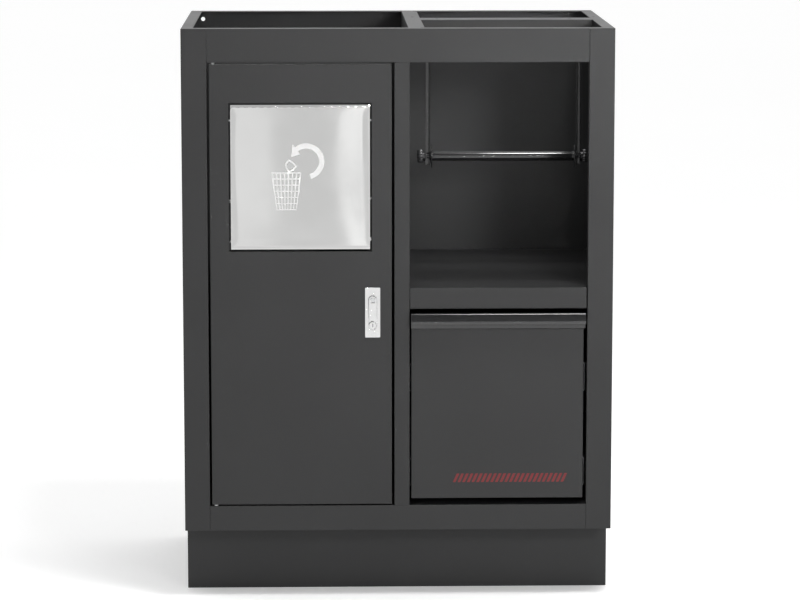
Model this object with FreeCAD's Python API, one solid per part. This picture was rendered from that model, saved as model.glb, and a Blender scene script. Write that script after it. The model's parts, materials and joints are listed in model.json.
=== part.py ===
"""Workshop cabinet module: waste compartment behind a door with a swing flap, paper roll bay and drawer.

Millimetres, +Z up, the front faces -Y. The origin is the centre of the footprint at floor level.
Each function makes one sub-part, and the table at the end writes one STEP file per node.
"""
import FreeCAD, Part
import os

os.makedirs("parts", exist_ok=True)

# Driving dimensions of the cabinet
WIDTH = 680.0
DEPTH = 460.0
HEIGHT = 910.0
PLINTH_HEIGHT = 110.0
PLINTH_SETBACK = 70.0
PLINTH_INSET = 1.0
SHEET = 1.5
FOLD = 20.0
HANDLE_PROUD = 16.0

# Face frame
STILE_WIDTH = 40.0
MID_LEFT = -6.0
MID_RIGHT = 18.0
RAIL_BOTTOM = 857.0
FLOOR_TOP = 150.0
SIDE_FLANGE = 18.5
FRONT_FLANGE = 22.0
REAR_FLANGE = 25.0
PARTITION_FLANGE = 24.0
BASE_FLANGE = 30.0

# Door and its opening for the flap
DOOR_X = (-296.4, -10.1)
DOOR_Z = (152.4, 853.7)
DOOR_PIVOT_X = -290.0
DOOR_PIVOT_DEPTH = 6.0
PIVOT_PIN_R = 3.0
RUNNING_GAP = 0.05
FLAP_HOLE_X = (-266.0, -41.7)
FLAP_HOLE_Z = (558.8, 793.2)
FLAP_HOLE_FOLD = 12.0

# Swing flap
FLAP_X = (-263.6, -44.1)
FLAP_Z = (562.0, 791.0)
FLAP_SHEET = 1.0
FLAP_RECESS = 2.0
FLAP_FOLD = 19.0
FLAP_HEM = 12.0
FLAP_TOP_FOLD = 5.0
FLAP_PIVOT_Z = 766.0
FLAP_PIVOT_DEPTH = 4.9
FLAP_PIN_R = 1.5
FLAP_EAR_Z = (576.0, 639.0)

# Flush lock
LOCK_X = -40.5
LOCK_PLATE_X = 12.0
LOCK_PLATE_Z = (421.6, 501.4)
LOCK_PLATE_PROUD = 2.0
GROOVE_R = 6.9
GROOVE_Z = (433.7, 489.2)
GROOVE_DEPTH = 1.0
SPINDLE_Z = 481.5
SPINDLE_R = 3.0
BUTTON_Z = 441.5
BUTTON_R = 5.5
BUTTON_PROUD = 2.6
LEVER_R = 5.8
LEVER_BOTTOM = 449.0

# Paper roll bay
SHELF_TOP = 500.0
SHELF_LIP = 33.0
SHELF_X = (18.8, 298.3)
BAR_DEPTH = (209.0, 259.0)
BAR_FOLD = 22.0
ROD_Z = 685.0
ROD_R = 8.0
ROD_PIN_R = 4.0
HANGER_X = (54.0, 301.0)
HANGER_WIDTH = 7.0
HANGER_DEPTH = 20.0
DISC_R = 20.0
KNOB_R = 10.8
KNOB_LENGTH = 13.0

# Drawer
DRAWER_X = (20.8, 294.3)
DRAWER_Z = (161.0, 435.0)
GRIP_X = (20.5, 296.8)
GRIP_TOP = 460.0
BOX_Z = (170.0, 400.0)
BOX_BACK = 420.0
SLIDE_HEIGHT = 45.0
SLIDE_WIDTH = 12.7
SLIDE_LENGTH = 400.0
SLIDE_START = 22.0
SLIDE_SHEET = 1.2
SLIDE_LEVELS = (199.5, 353.0)
SLIDE_RIGHT = 297.7

# Waste bin
BIN_TOP_X = (-287.0, -27.0)
BIN_TOP_DEPTH = (50.0, 430.0)
BIN_TOP = 545.0
BIN_TAPER = 14.0
BIN_WALL = 3.0
BIN_CORNER = 28.0
BIN_RIM = 7.0

# Worked out from the above
HALF = WIDTH / 2
INNER = HALF - SHEET
FRONT = (HANDLE_PROUD - DEPTH) / 2
BACK = FRONT + DEPTH
STILE_EDGE = HALF - STILE_WIDTH
FLANGE_EDGE = INNER - 17.0
TOP_SHEET = (HEIGHT - SHEET, HEIGHT)
FACE = (FRONT, FRONT + SHEET)
ROD_Y = FRONT + sum(BAR_DEPTH) / 2
DOOR_PIVOT_Y = FRONT + DOOR_PIVOT_DEPTH
FLAP_PIVOT_Y = FRONT + FLAP_PIVOT_DEPTH
BOX_X = (MID_RIGHT + SLIDE_WIDTH, SLIDE_RIGHT - SLIDE_WIDTH)


def block(x, y, z):
    """A rectangular solid between pairs of limits."""
    corner = FreeCAD.Vector(x[0], y[0], z[0])
    return Part.makeBox(x[1] - x[0], y[1] - y[0], z[1] - z[0], corner)


def rod(axis, radius, start, end, centre):
    """A cylinder along X, Y or Z between two values, centred on the other two coordinates."""
    directions = {"x": (1, 0, 0), "y": (0, 1, 0), "z": (0, 0, 1)}
    places = {
        "x": (start, centre[0], centre[1]),
        "y": (centre[0], start, centre[1]),
        "z": (centre[0], centre[1], start),
    }
    base = FreeCAD.Vector(*places[axis])
    return Part.makeCylinder(radius, end - start, base, FreeCAD.Vector(*directions[axis]))


def join(*solids):
    """One solid from overlapping or touching ones, with its split faces merged."""
    joined = solids[0].fuse(list(solids[1:])) if len(solids) > 1 else solids[0]
    return joined.removeSplitter()


def group(solids):
    """Like pieces that share a node and stay separate solids."""
    return Part.makeCompound(list(solids))


def mirror_x(shape):
    """The same shape on the other side of the cabinet's centre plane."""
    return shape.mirror(FreeCAD.Vector(0, 0, 0), FreeCAD.Vector(1, 0, 0))


def depth(near, far):
    """Y limits from two depths behind the front face."""
    return (FRONT + near, FRONT + far)


def stadium(x, z, radius, y):
    """An upright slab with round ends: x is its centre line, z its lowest and highest points."""
    middle = block((x - radius, x + radius), y, (z[0] + radius, z[1] - radius))
    lower = rod("y", radius, y[0], y[1], (x, z[0] + radius))
    upper = rod("y", radius, y[0], y[1], (x, z[1] - radius))
    return join(middle, lower, upper)


# ---------------------------------------------------------------- carcass

def side_panel_left():
    """Outer wall folded round into the face stile, with flanges at the top, rear and bottom."""
    tall = (PLINTH_HEIGHT, HEIGHT)
    wall = block((-HALF, -INNER), (FRONT, BACK), tall)
    stile = block((-HALF, -STILE_EDGE), FACE, tall)
    edge = (-STILE_EDGE - SHEET, -STILE_EDGE)
    stile_return = block(edge, depth(0, FOLD), (FLOOR_TOP, RAIL_BOTTOM))
    top_flange = block((-HALF, -FLANGE_EDGE), (FRONT, BACK - SHEET), TOP_SHEET)
    corner_flange = block((-HALF, -STILE_EDGE), depth(0, FRONT_FLANGE), TOP_SHEET)
    base = (PLINTH_HEIGHT, PLINTH_HEIGHT + SHEET)
    base_flange = block((-HALF, -INNER + BASE_FLANGE), (FRONT, BACK - SHEET), base)
    panel = join(wall, stile, stile_return, top_flange, corner_flange, base_flange)
    for y in plinth_bolt_places():
        panel = panel.cut(rod("z", PLINTH_BOLT_R, base[0] - 1, base[1] + 1, (-PLINTH_BOLT_X, y)))
    return panel


def side_panel_right():
    """Mirror of the left panel, with the screw hole for the worktop in its top flange."""
    panel = mirror_x(side_panel_left())
    return panel.cut(worktop_hole(WORKTOP_HOLE_X[1]))


WORKTOP_HOLE_X = (30.0, 329.0)
WORKTOP_HOLE_DEPTH = 283.0
WORKTOP_HOLE_R = 2.5


def worktop_hole(x):
    """Drill for one of the screws that hold a worktop down."""
    return rod("z", WORKTOP_HOLE_R, HEIGHT - FOLD, HEIGHT + 1, (x, FRONT + WORKTOP_HOLE_DEPTH))


WALL_HOLE_X = -320.0
WALL_HOLE_Z = 896.0
WALL_HOLE_R = 3.5


def back_panel():
    """Rear sheet between the side walls, with flanges at the top and bottom and one fixing hole."""
    sheet = block((-INNER, INNER), (BACK - SHEET, BACK), (PLINTH_HEIGHT, HEIGHT))
    flange_y = (BACK - REAR_FLANGE, BACK)
    top = block((-FLANGE_EDGE, FLANGE_EDGE), flange_y, TOP_SHEET)
    base_edge = INNER - BASE_FLANGE
    base = block((-base_edge, base_edge), flange_y, (PLINTH_HEIGHT, PLINTH_HEIGHT + SHEET))
    hole = rod("y", WALL_HOLE_R, BACK - FOLD, BACK + 1, (WALL_HOLE_X, WALL_HOLE_Z))
    return join(sheet, top, base).cut(hole)


def base_panel():
    """Floor of both compartments: a sheet with its sides and rear folded down to the walls."""
    y = (FRONT + FOLD, BACK - SHEET)
    drop = (FLOOR_TOP - FOLD, FLOOR_TOP)
    floor = block((-INNER, INNER), y, (FLOOR_TOP - SHEET, FLOOR_TOP))
    left = block((-INNER, -INNER + SHEET), y, drop)
    right = block((INNER - SHEET, INNER), y, drop)
    rear = block((-INNER, INNER), (y[1] - SHEET, y[1]), drop)
    return join(floor, left, right, rear)


def front_rail(low, high, top_depth, bottom_depth):
    """A rail of the face frame: a channel with its folds pointing backwards."""
    x = (-STILE_EDGE, STILE_EDGE)
    face = block(x, FACE, (low, high))
    top = block(x, depth(0, top_depth), (high - SHEET, high))
    bottom = block(x, depth(0, bottom_depth), (low, low + SHEET))
    return join(face, top, bottom)


def top_front_rail():
    """Upper rail, drilled for the door's upper pivot pin."""
    rail = front_rail(RAIL_BOTTOM, HEIGHT, FRONT_FLANGE, FOLD)
    pin = (DOOR_PIVOT_X, DOOR_PIVOT_Y)
    return rail.cut(rod("z", PIVOT_PIN_R, RAIL_BOTTOM - 1, RAIL_BOTTOM + 3, pin))


def bottom_front_rail():
    """Lower rail, drilled for the door's lower pivot pin."""
    rail = front_rail(PLINTH_HEIGHT, FLOOR_TOP, FOLD, FOLD + 5)
    pin = (DOOR_PIVOT_X, DOOR_PIVOT_Y)
    return rail.cut(rod("z", PIVOT_PIN_R, FLOOR_TOP - 3, FLOOR_TOP + 1, pin))


def partition_panel():
    """Wall between the compartments, folded into the middle stile and a top flange."""
    wall_x = (MID_RIGHT - SHEET, MID_RIGHT)
    opening = (FLOOR_TOP, RAIL_BOTTOM)
    lower = block(wall_x, (FRONT, BACK - SHEET), opening)
    flange_front = FRONT + FRONT_FLANGE
    upper = block(wall_x, (flange_front, BACK - SHEET), (RAIL_BOTTOM, HEIGHT - SHEET))
    stile = block((MID_LEFT, MID_RIGHT), FACE, opening)
    stile_return = block((MID_LEFT, MID_LEFT + SHEET), depth(0, FOLD), opening)
    flange_x = (MID_RIGHT - SHEET, MID_RIGHT + PARTITION_FLANGE)
    flange = block(flange_x, (flange_front, BACK - REAR_FLANGE), TOP_SHEET)
    notch = 6.0
    for y in (flange_front, BACK - REAR_FLANGE - notch):
        cut = block((flange_x[1] - notch, flange_x[1]), (y, y + notch), TOP_SHEET)
        flange = flange.cut(cut)
    panel = join(lower, upper, stile, stile_return, flange)
    return panel.cut(worktop_hole(WORKTOP_HOLE_X[0]))


def shelf_tray():
    """Shelf under the paper roll: a sheet with a deep front lip and folded sides."""
    sheet_z = (SHELF_TOP - SHEET, SHELF_TOP)
    lip_z = (SHELF_TOP - SHELF_LIP, SHELF_TOP)
    wide = block((MID_RIGHT, INNER), (FRONT + FOLD, BACK - SHEET), sheet_z)
    mouth = block(SHELF_X, depth(0, FOLD), sheet_z)
    lip = block(SHELF_X, FACE, lip_z)
    lip_return = block(SHELF_X, depth(0, FOLD - 5), (lip_z[0], lip_z[0] + SHEET))
    side_y = (FRONT + FOLD, BACK - SHEET)
    side_z = (SHELF_TOP - FOLD, SHELF_TOP)
    left = block((MID_RIGHT, MID_RIGHT + SHEET), side_y, side_z)
    right = block((INNER - SHEET, INNER), side_y, side_z)
    return join(wide, mouth, lip, lip_return, left, right)


# ---------------------------------------------------------------- plinth

PLINTH_BOLT_X = 324.0
PLINTH_BOLT_R = 4.0
PLINTH_LOW = 25.0


def plinth_bolt_places():
    """Depths of the bolts that join the carcass to the plinth."""
    return (FRONT + PLINTH_SETBACK + 50, BACK - 60)


def plinth_channel_x(y_face, y_fold):
    """Front or rear length of the plinth: its face and two folds."""
    edge = HALF - PLINTH_INSET
    y = (min(y_face, y_fold), max(y_face, y_fold))
    inward = SHEET if y_fold > y_face else -SHEET
    face_y = (min(y_face, y_face + inward), max(y_face, y_face + inward))
    inner = edge - SHEET
    face = block((-inner, inner), face_y, (0, PLINTH_HEIGHT))
    low = block((-inner + PLINTH_LOW, inner - PLINTH_LOW), y, (0, SHEET))
    high = block((-inner + PLINTH_LOW, inner - PLINTH_LOW), y, (PLINTH_HEIGHT - SHEET, PLINTH_HEIGHT))
    return join(face, low, high)


def plinth_front():
    """Kickboard, set back to leave room for the toes."""
    return plinth_channel_x(FRONT + PLINTH_SETBACK, FRONT + PLINTH_SETBACK + PLINTH_LOW)


def plinth_rear():
    """Rear length of the plinth."""
    return plinth_channel_x(BACK, BACK - PLINTH_LOW)


def plinth_left():
    """Side length of the plinth, drilled for the bolts from the carcass."""
    edge = HALF - PLINTH_INSET
    y = (FRONT + PLINTH_SETBACK, BACK)
    wall = block((-edge, -edge + SHEET), y, (0, PLINTH_HEIGHT))
    inner_y = (y[0] + SHEET, y[1] - SHEET)
    flange = (-edge, -edge + PLINTH_LOW)
    low = block(flange, inner_y, (0, SHEET))
    high = block(flange, inner_y, (PLINTH_HEIGHT - SHEET, PLINTH_HEIGHT))
    side = join(wall, low, high)
    for place in plinth_bolt_places():
        hole = rod("z", PLINTH_BOLT_R, PLINTH_HEIGHT - 3, PLINTH_HEIGHT + 1, (-PLINTH_BOLT_X, place))
        side = side.cut(hole)
    return side


def plinth_right():
    """Mirror of the left length."""
    return mirror_x(plinth_left())


def hexagon(across, z, centre):
    """An upright hexagonal prism of a given width across its flats."""
    radius = across / 3 ** 0.5
    corners = Part.makePolygon([
        FreeCAD.Vector(centre[0], centre[1], z[0]) + turned(radius, 60 * step) for step in range(7)
    ])
    return Part.Face(corners).extrude(FreeCAD.Vector(0, 0, z[1] - z[0]))


def turned(radius, degrees):
    """A vector of the given length in the XY plane."""
    vector = FreeCAD.Vector(radius, 0, 0)
    return FreeCAD.Rotation(FreeCAD.Vector(0, 0, 1), degrees).multVec(vector)


def plinth_bolts():
    """Hexagon bolts with their nuts, two on each side."""
    across = 13.0
    floor = PLINTH_HEIGHT + SHEET
    under = PLINTH_HEIGHT - SHEET
    bolts = []
    for x in (-PLINTH_BOLT_X, PLINTH_BOLT_X):
        for y in plinth_bolt_places():
            head = hexagon(across, (floor, floor + 5.3), (x, y))
            shank = rod("z", PLINTH_BOLT_R, under - 12, floor, (x, y))
            nut = hexagon(across, (under - 6.5, under), (x, y))
            bolts.append(join(head, shank, nut))
    return group(bolts)


# ---------------------------------------------------------------- paper roll holder

def roll_cross_bar():
    """Bar across the top of the bay: a channel with its edges folded down."""
    x = (MID_RIGHT + PARTITION_FLANGE, FLANGE_EDGE)
    y = depth(*BAR_DEPTH)
    top = block(x, y, TOP_SHEET)
    drop = (HEIGHT - BAR_FOLD, HEIGHT)
    front = block(x, (y[0], y[0] + SHEET), drop)
    rear = block(x, (y[1] - SHEET, y[1]), drop)
    bar = join(top, front, rear)
    for x_screw in HANGER_X:
        for y_screw in hanger_screw_places():
            hole = rod("z", SCREW_R, HEIGHT - 3, HEIGHT + 1, (hanger_foot(x_screw), y_screw))
            bar = bar.cut(hole)
    return bar


SCREW_R = 2.5
FOOT_LENGTH = 26.0


def hanger_screw_places():
    """Y places of the two screws in each hanger's foot."""
    return (ROD_Y - 6, ROD_Y + 6)


def hanger_foot(x):
    """X place of a hanger's screws: its foot is bent towards the middle of the bay."""
    middle = sum(HANGER_X) / 2
    return x + 15 if x < middle else x - 15


def roll_hanger(x):
    """Hanging strap folded to a channel, with a foot under the bar and a bore for the rod."""
    half = HANGER_WIDTH / 2
    y = (ROD_Y - HANGER_DEPTH / 2, ROD_Y + HANGER_DEPTH / 2)
    top = HEIGHT - SHEET
    bottom = ROD_Z - 14
    web = block((x - half, x + half), (y[1] - SHEET, y[1]), (bottom, top))
    left = block((x - half, x - half + SHEET), y, (bottom, top))
    right = block((x + half - SHEET, x + half), y, (bottom, top))
    foot_x = sorted((x, x + FOOT_LENGTH * (1 if hanger_foot(x) > x else -1)))
    foot = block(foot_x, y, (top - SHEET, top))
    hanger = join(web, left, right, foot)
    bore = rod("x", ROD_PIN_R + RUNNING_GAP, x - half - 1, x + half + 1, (ROD_Y, ROD_Z))
    hanger = hanger.cut(bore)
    for y_screw in hanger_screw_places():
        hole = rod("z", SCREW_R, top - 3, top + 1, (hanger_foot(x), y_screw))
        hanger = hanger.cut(hole)
    return hanger


def hanger_screws():
    """Button-head screws down through the bar into each hanger's foot."""
    screws = []
    for x in HANGER_X:
        for y in hanger_screw_places():
            place = (hanger_foot(x), y)
            head = rod("z", 4.0, HEIGHT - SHEET * 2 - 2.6, HEIGHT - SHEET * 2, place)
            shank = rod("z", SCREW_R, HEIGHT - SHEET * 2 - 2.6, HEIGHT, place)
            screws.append(join(head, shank))
    return group(screws)


def roll_rod():
    """Rod that carries the paper roll, with a thinner pin at each end for hanger and knob."""
    half = HANGER_WIDTH / 2
    clear = 0.6
    shoulder = (HANGER_X[0] + half + clear, HANGER_X[1] - half - clear)
    ends = (HANGER_X[0] - half - KNOB_LENGTH, HANGER_X[1] + half + KNOB_LENGTH)
    centre = (ROD_Y, ROD_Z)
    return join(rod("x", ROD_R, shoulder[0], shoulder[1], centre),
                rod("x", ROD_PIN_R, ends[0], ends[1], centre))


def roll_discs():
    """Thin guide discs that keep the roll off the hangers."""
    half = HANGER_WIDTH / 2
    thickness = 1.5
    left = HANGER_X[0] + half + 2
    right = HANGER_X[1] - half - 2 - thickness
    discs = []
    for x in (left, right):
        outer = rod("x", DISC_R, x, x + thickness, (ROD_Y, ROD_Z))
        bore = rod("x", ROD_R, x - 1, x + thickness + 1, (ROD_Y, ROD_Z))
        discs.append(outer.cut(bore))
    return group(discs)


def roll_knobs():
    """Fluted knobs on the ends of the rod, outside the hangers."""
    half = HANGER_WIDTH / 2
    flutes = 12
    flute_r = 1.6
    clear = 0.6
    knobs = []
    for side in (-1, 1):
        hanger = HANGER_X[0] if side < 0 else HANGER_X[1]
        inner = hanger + side * (half + clear)
        outer = hanger + side * (half + clear + KNOB_LENGTH)
        span = (min(inner, outer), max(inner, outer))
        knob = rod("x", KNOB_R, span[0], span[1], (ROD_Y, ROD_Z))
        collar = 3.0
        grip = (span[0] + collar, span[1]) if side > 0 else (span[0], span[1] - collar)
        for step in range(flutes):
            place = turned(KNOB_R + flute_r / 3, 360 / flutes * step)
            centre = (ROD_Y + place.x, ROD_Z + place.y)
            knob = knob.cut(rod("x", flute_r, grip[0], grip[1], centre))
        bore = rod("x", ROD_PIN_R, span[0] - 1, span[1] + 1, (ROD_Y, ROD_Z))
        knobs.append(knob.cut(bore))
    return group(knobs)


# ---------------------------------------------------------------- door

def door_panel():
    """Door pan with folded edges and the flap's opening, drilled for pivots and lock."""
    face = block(DOOR_X, FACE, DOOR_Z)
    hole = block(FLAP_HOLE_X, depth(-1, FOLD), FLAP_HOLE_Z)
    shell = block(DOOR_X, depth(0, FOLD), DOOR_Z)
    inside_x = (DOOR_X[0] + SHEET, DOOR_X[1] - SHEET)
    inside_z = (DOOR_Z[0] + SHEET, DOOR_Z[1] - SHEET)
    pan = shell.cut(block(inside_x, depth(SHEET, FOLD + 1), inside_z))
    collar_x = (FLAP_HOLE_X[0] - SHEET, FLAP_HOLE_X[1] + SHEET)
    collar_z = (FLAP_HOLE_Z[0] - SHEET, FLAP_HOLE_Z[1] + SHEET)
    collar = block(collar_x, depth(0, FLAP_HOLE_FOLD), collar_z)
    panel = join(face, pan, collar).cut(hole)
    pivot = (DOOR_PIVOT_X, DOOR_PIVOT_Y)
    for z in DOOR_Z:
        panel = panel.cut(rod("z", BUSH_R, z - 2, z + 2, pivot))
    pin_hole = rod("x", FLAP_PIN_R + 0.5, DOOR_X[0] + 5, DOOR_X[1] - 5, (FLAP_PIVOT_Y, FLAP_PIVOT_Z))
    panel = panel.cut(pin_hole)
    cutout_x = (LOCK_X - LOCK_BODY_HALF, LOCK_X + LOCK_BODY_HALF)
    return panel.cut(block(cutout_x, depth(-1, SHEET + 1), LOCK_BODY_Z))


BUSH_R = 4.4
BUSH_FLANGE_R = 5.6
LOCK_BODY_HALF = 9.5
LOCK_BODY_Z = (427.0, 496.0)
LOCK_BODY_DEPTH = 15.0


def door_pivot_bushes():
    """Plastic bushes in the door's top and bottom folds, for the pivot pins."""
    centre = (DOOR_PIVOT_X, DOOR_PIVOT_Y)
    flange = 1.5
    bushes = []
    for outside, inward in ((DOOR_Z[0], 1), (DOOR_Z[1], -1)):
        inside = outside + inward * SHEET
        far = inside + inward * 6
        body_z = (min(outside, far), max(outside, far))
        rim_z = (min(inside, inside + inward * flange), max(inside, inside + inward * flange))
        body = rod("z", BUSH_R, body_z[0], body_z[1], centre)
        rim = rod("z", BUSH_FLANGE_R, rim_z[0], rim_z[1], centre)
        rim = rim.cut(block((DOOR_X[0], DOOR_X[0] + SHEET), depth(0, FOLD), rim_z))
        rim = rim.cut(block(DOOR_X, FACE, rim_z))
        bore = rod("z", PIVOT_PIN_R + RUNNING_GAP, body_z[0] - 1, body_z[1] + 1, centre)
        bushes.append(join(body, rim).cut(bore))
    return group(bushes)


def door_pivot_pins():
    """Pins fixed in the rails, with a collar in the gap that carries the door."""
    centre = (DOOR_PIVOT_X, DOOR_PIVOT_Y)
    head_r = 4.2
    head = 2.0
    reach = 9.0
    collar_gap = 0.4
    low_head = rod("z", head_r, FLOOR_TOP - SHEET - head, FLOOR_TOP - SHEET, centre)
    low_pin = rod("z", PIVOT_PIN_R, FLOOR_TOP - SHEET - head, FLOOR_TOP + reach, centre)
    low_collar = rod("z", head_r, FLOOR_TOP, DOOR_Z[0] - collar_gap, centre)
    high_head = rod("z", head_r, RAIL_BOTTOM + SHEET, RAIL_BOTTOM + SHEET + head, centre)
    high_pin = rod("z", PIVOT_PIN_R, RAIL_BOTTOM - reach, RAIL_BOTTOM + SHEET + head, centre)
    return group([join(low_head, low_pin, low_collar), join(high_head, high_pin)])


def door_stiffener():
    """Upright channel welded behind the door, below the flap."""
    x = (-170.0, -130.0)
    z = (DOOR_Z[0] + 30, FLAP_HOLE_Z[0] - 30)
    near, far = SHEET, FOLD - 2
    wall = SHEET
    channel = block(x, depth(near, far), z)
    hollow = block((x[0] + wall, x[1] - wall), depth(near - 1, far - wall), (z[0] - 1, z[1] + 1))
    lips = [
        block((x[0] - 10, x[0]), depth(near, near + wall), z),
        block((x[1], x[1] + 10), depth(near, near + wall), z),
    ]
    return join(channel.cut(hollow), *lips)


def door_buffers():
    """Rubber buffers on the door's lock-side edge that meet the cabinet softly."""
    radius = 4.0
    buffers = []
    x = DOOR_X[1] - SHEET - radius - 1
    for z in (DOOR_Z[0] + 60, DOOR_Z[1] - 60):
        buffers.append(rod("y", radius, FRONT + SHEET, FRONT + FOLD - 4, (x, z)))
    return group(buffers)


def flap_pivot_bushes():
    """Bushes behind the collar of the flap's opening, one on each side."""
    bush_r = 6.0
    length = 6.0
    y_limit = block((-HALF, HALF), (FRONT + SHEET, FRONT + FOLD), (0, HEIGHT))
    spans = ((FLAP_HOLE_X[0] - SHEET - length, FLAP_HOLE_X[0] - SHEET),
             (FLAP_HOLE_X[1] + SHEET, FLAP_HOLE_X[1] + SHEET + length))
    bushes = []
    for span in spans:
        outer = rod("x", bush_r, span[0], span[1], (FLAP_PIVOT_Y, FLAP_PIVOT_Z)).common(y_limit)
        bore_r = FLAP_PIN_R + RUNNING_GAP
        bore = rod("x", bore_r, span[0] - 1, span[1] + 1, (FLAP_PIVOT_Y, FLAP_PIVOT_Z))
        bushes.append(outer.cut(bore))
    return group(bushes)


def flap_plate():
    """Polished swing flap: a shallow pan that hangs from pins near its top edge."""
    y0 = FLAP_RECESS
    y1 = FLAP_RECESS + FLAP_SHEET
    deep = FLAP_RECESS + FLAP_FOLD
    side_top = FLAP_PIVOT_Z + 8
    face = block(FLAP_X, depth(y0, y1), FLAP_Z)
    left = block((FLAP_X[0], FLAP_X[0] + FLAP_SHEET), depth(y0, deep), (FLAP_Z[0], side_top))
    right = block((FLAP_X[1] - FLAP_SHEET, FLAP_X[1]), depth(y0, deep), (FLAP_Z[0], side_top))
    bottom = block(FLAP_X, depth(y0, deep), (FLAP_Z[0], FLAP_Z[0] + FLAP_SHEET))
    hem_z = (FLAP_Z[0], FLAP_Z[0] + FLAP_HEM)
    hem = block(FLAP_X, depth(deep - FLAP_SHEET, deep), hem_z)
    top_depth = FLAP_RECESS + FLAP_TOP_FOLD
    top = block(FLAP_X, depth(y0, top_depth), (FLAP_Z[1] - FLAP_SHEET, FLAP_Z[1]))
    ear_depth = (FLAP_HOLE_FOLD + 0.8, FLAP_HOLE_FOLD + 0.8 + FLAP_SHEET * 2)
    ear_reach = 3.6
    ears = []
    for z in FLAP_EAR_Z:
        ear_z = (z - 4, z + 4)
        ears.append(block((FLAP_X[0] - ear_reach, FLAP_X[0]), depth(*ear_depth), ear_z))
        ears.append(block((FLAP_X[1], FLAP_X[1] + ear_reach), depth(*ear_depth), ear_z))
    flap = join(face, left, right, bottom, hem, top, *ears)
    for edge in FLAP_X:
        pin_hole = rod("x", FLAP_PIN_R, edge - 2, edge + 2, (FLAP_PIVOT_Y, FLAP_PIVOT_Z))
        flap = flap.cut(pin_hole)
    return flap


def flap_pins():
    """Headed pins riveted through the flap's sides into the bushes."""
    head = 1.6
    reach = 9.0
    pins = []
    for side, edge in ((-1, FLAP_X[0]), (1, FLAP_X[1])):
        inner = edge - side * FLAP_SHEET
        centre = (FLAP_PIVOT_Y, FLAP_PIVOT_Z)
        stem = sorted((inner - side * head, edge + side * reach))
        pin = rod("x", FLAP_PIN_R, stem[0], stem[1], centre)
        cap = sorted((inner - side * head, inner))
        disc = rod("x", 4.0, cap[0], cap[1], centre)
        behind_face = block((-HALF, HALF), depth(FLAP_RECESS + FLAP_SHEET, FOLD), (0, HEIGHT))
        pins.append(join(pin, disc.common(behind_face)))
    return group(pins)


# ---------------------------------------------------------------- lock

def lock_housing():
    """Flush plate with a shallow groove, on the body that holds spindle and button."""
    plate_x = (LOCK_X - LOCK_PLATE_X, LOCK_X + LOCK_PLATE_X)
    plate = block(plate_x, depth(-LOCK_PLATE_PROUD, 0), LOCK_PLATE_Z)
    upright = [edge for edge in plate.Edges if abs(edge.tangentAt(edge.FirstParameter).y) > 0.9]
    plate = plate.makeFillet(1.2, upright)
    body_x = (LOCK_X - LOCK_BODY_HALF, LOCK_X + LOCK_BODY_HALF)
    body = block(body_x, depth(-0.5, LOCK_BODY_DEPTH), LOCK_BODY_Z)
    groove_y = depth(-LOCK_PLATE_PROUD - 1, -LOCK_PLATE_PROUD + GROOVE_DEPTH)
    groove = stadium(LOCK_X, GROOVE_Z, GROOVE_R, groove_y)
    far = FRONT + LOCK_BODY_DEPTH + 1
    near = FRONT - LOCK_PLATE_PROUD - 1
    spindle = rod("y", SPINDLE_R + RUNNING_GAP, near, far, (LOCK_X, SPINDLE_Z))
    button = rod("y", BUTTON_R + RUNNING_GAP, near, FRONT + BUTTON_TRAVEL_ROOM, (LOCK_X, BUTTON_Z))
    return join(plate, body).cut(groove).cut(spindle).cut(button)


BUTTON_TRAVEL_ROOM = 12.0
BUTTON_DEPTH = 8.0


def lock_clamp():
    """Clamp strap behind the door that pulls the lock against its panel."""
    x = (LOCK_X - LOCK_BODY_HALF - 6, LOCK_X + LOCK_BODY_HALF + 6)
    strap = block(x, depth(SHEET, SHEET + 3), (LOCK_BODY_Z[0] - 10, LOCK_BODY_Z[1] + 10))
    body_x = (LOCK_X - LOCK_BODY_HALF, LOCK_X + LOCK_BODY_HALF)
    return strap.cut(block(body_x, depth(0, FOLD), LOCK_BODY_Z))


def lock_button():
    """Round push-button with a keyhole, which lets the lever out."""
    near = FRONT - LOCK_PLATE_PROUD - BUTTON_PROUD
    button = rod("y", BUTTON_R, near, FRONT + BUTTON_DEPTH, (LOCK_X, BUTTON_Z))
    key = block((LOCK_X - 0.6, LOCK_X + 0.6), (near - 1, near + 4), (BUTTON_Z - 2.6, BUTTON_Z + 2.6))
    return button.cut(key)


def lock_spindle():
    """Spindle that carries the lever's fork in front and the cam behind."""
    near = FRONT - LOCK_PLATE_PROUD - 0.4
    far = FRONT + FOLD + 6
    shaft = rod("y", SPINDLE_R, near, far, (LOCK_X, SPINDLE_Z))
    fork_y = (near - 3.6, near)
    fork = rod("y", 2.9, fork_y[0], fork_y[1], (LOCK_X, SPINDLE_Z))
    fork = fork.cut(lever_pin_hole())
    return join(shaft, fork)


def lever_pin_hole():
    """Drill for the cross pin that the lever tips about."""
    y = FRONT - LOCK_PLATE_PROUD - 2.2
    return rod("x", LEVER_PIN_R + RUNNING_GAP, LOCK_X - 20, LOCK_X + 20, (y, SPINDLE_Z))


LEVER_PIN_R = 0.8


def lock_cam():
    """Cam that swings behind the middle stile, fixed to the spindle; at rest it points down."""
    y = depth(FOLD + 1.8, FOLD + 4.8)
    tongue = block((LOCK_X - 7, LOCK_X + 7), y, (SPINDLE_Z - 40, SPINDLE_Z))
    eye = rod("y", 9.0, y[0], y[1], (LOCK_X, SPINDLE_Z))
    bore = rod("y", SPINDLE_R, y[0] - 1, y[1] + 1, (LOCK_X, SPINDLE_Z))
    return join(tongue, eye).cut(bore)


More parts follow.
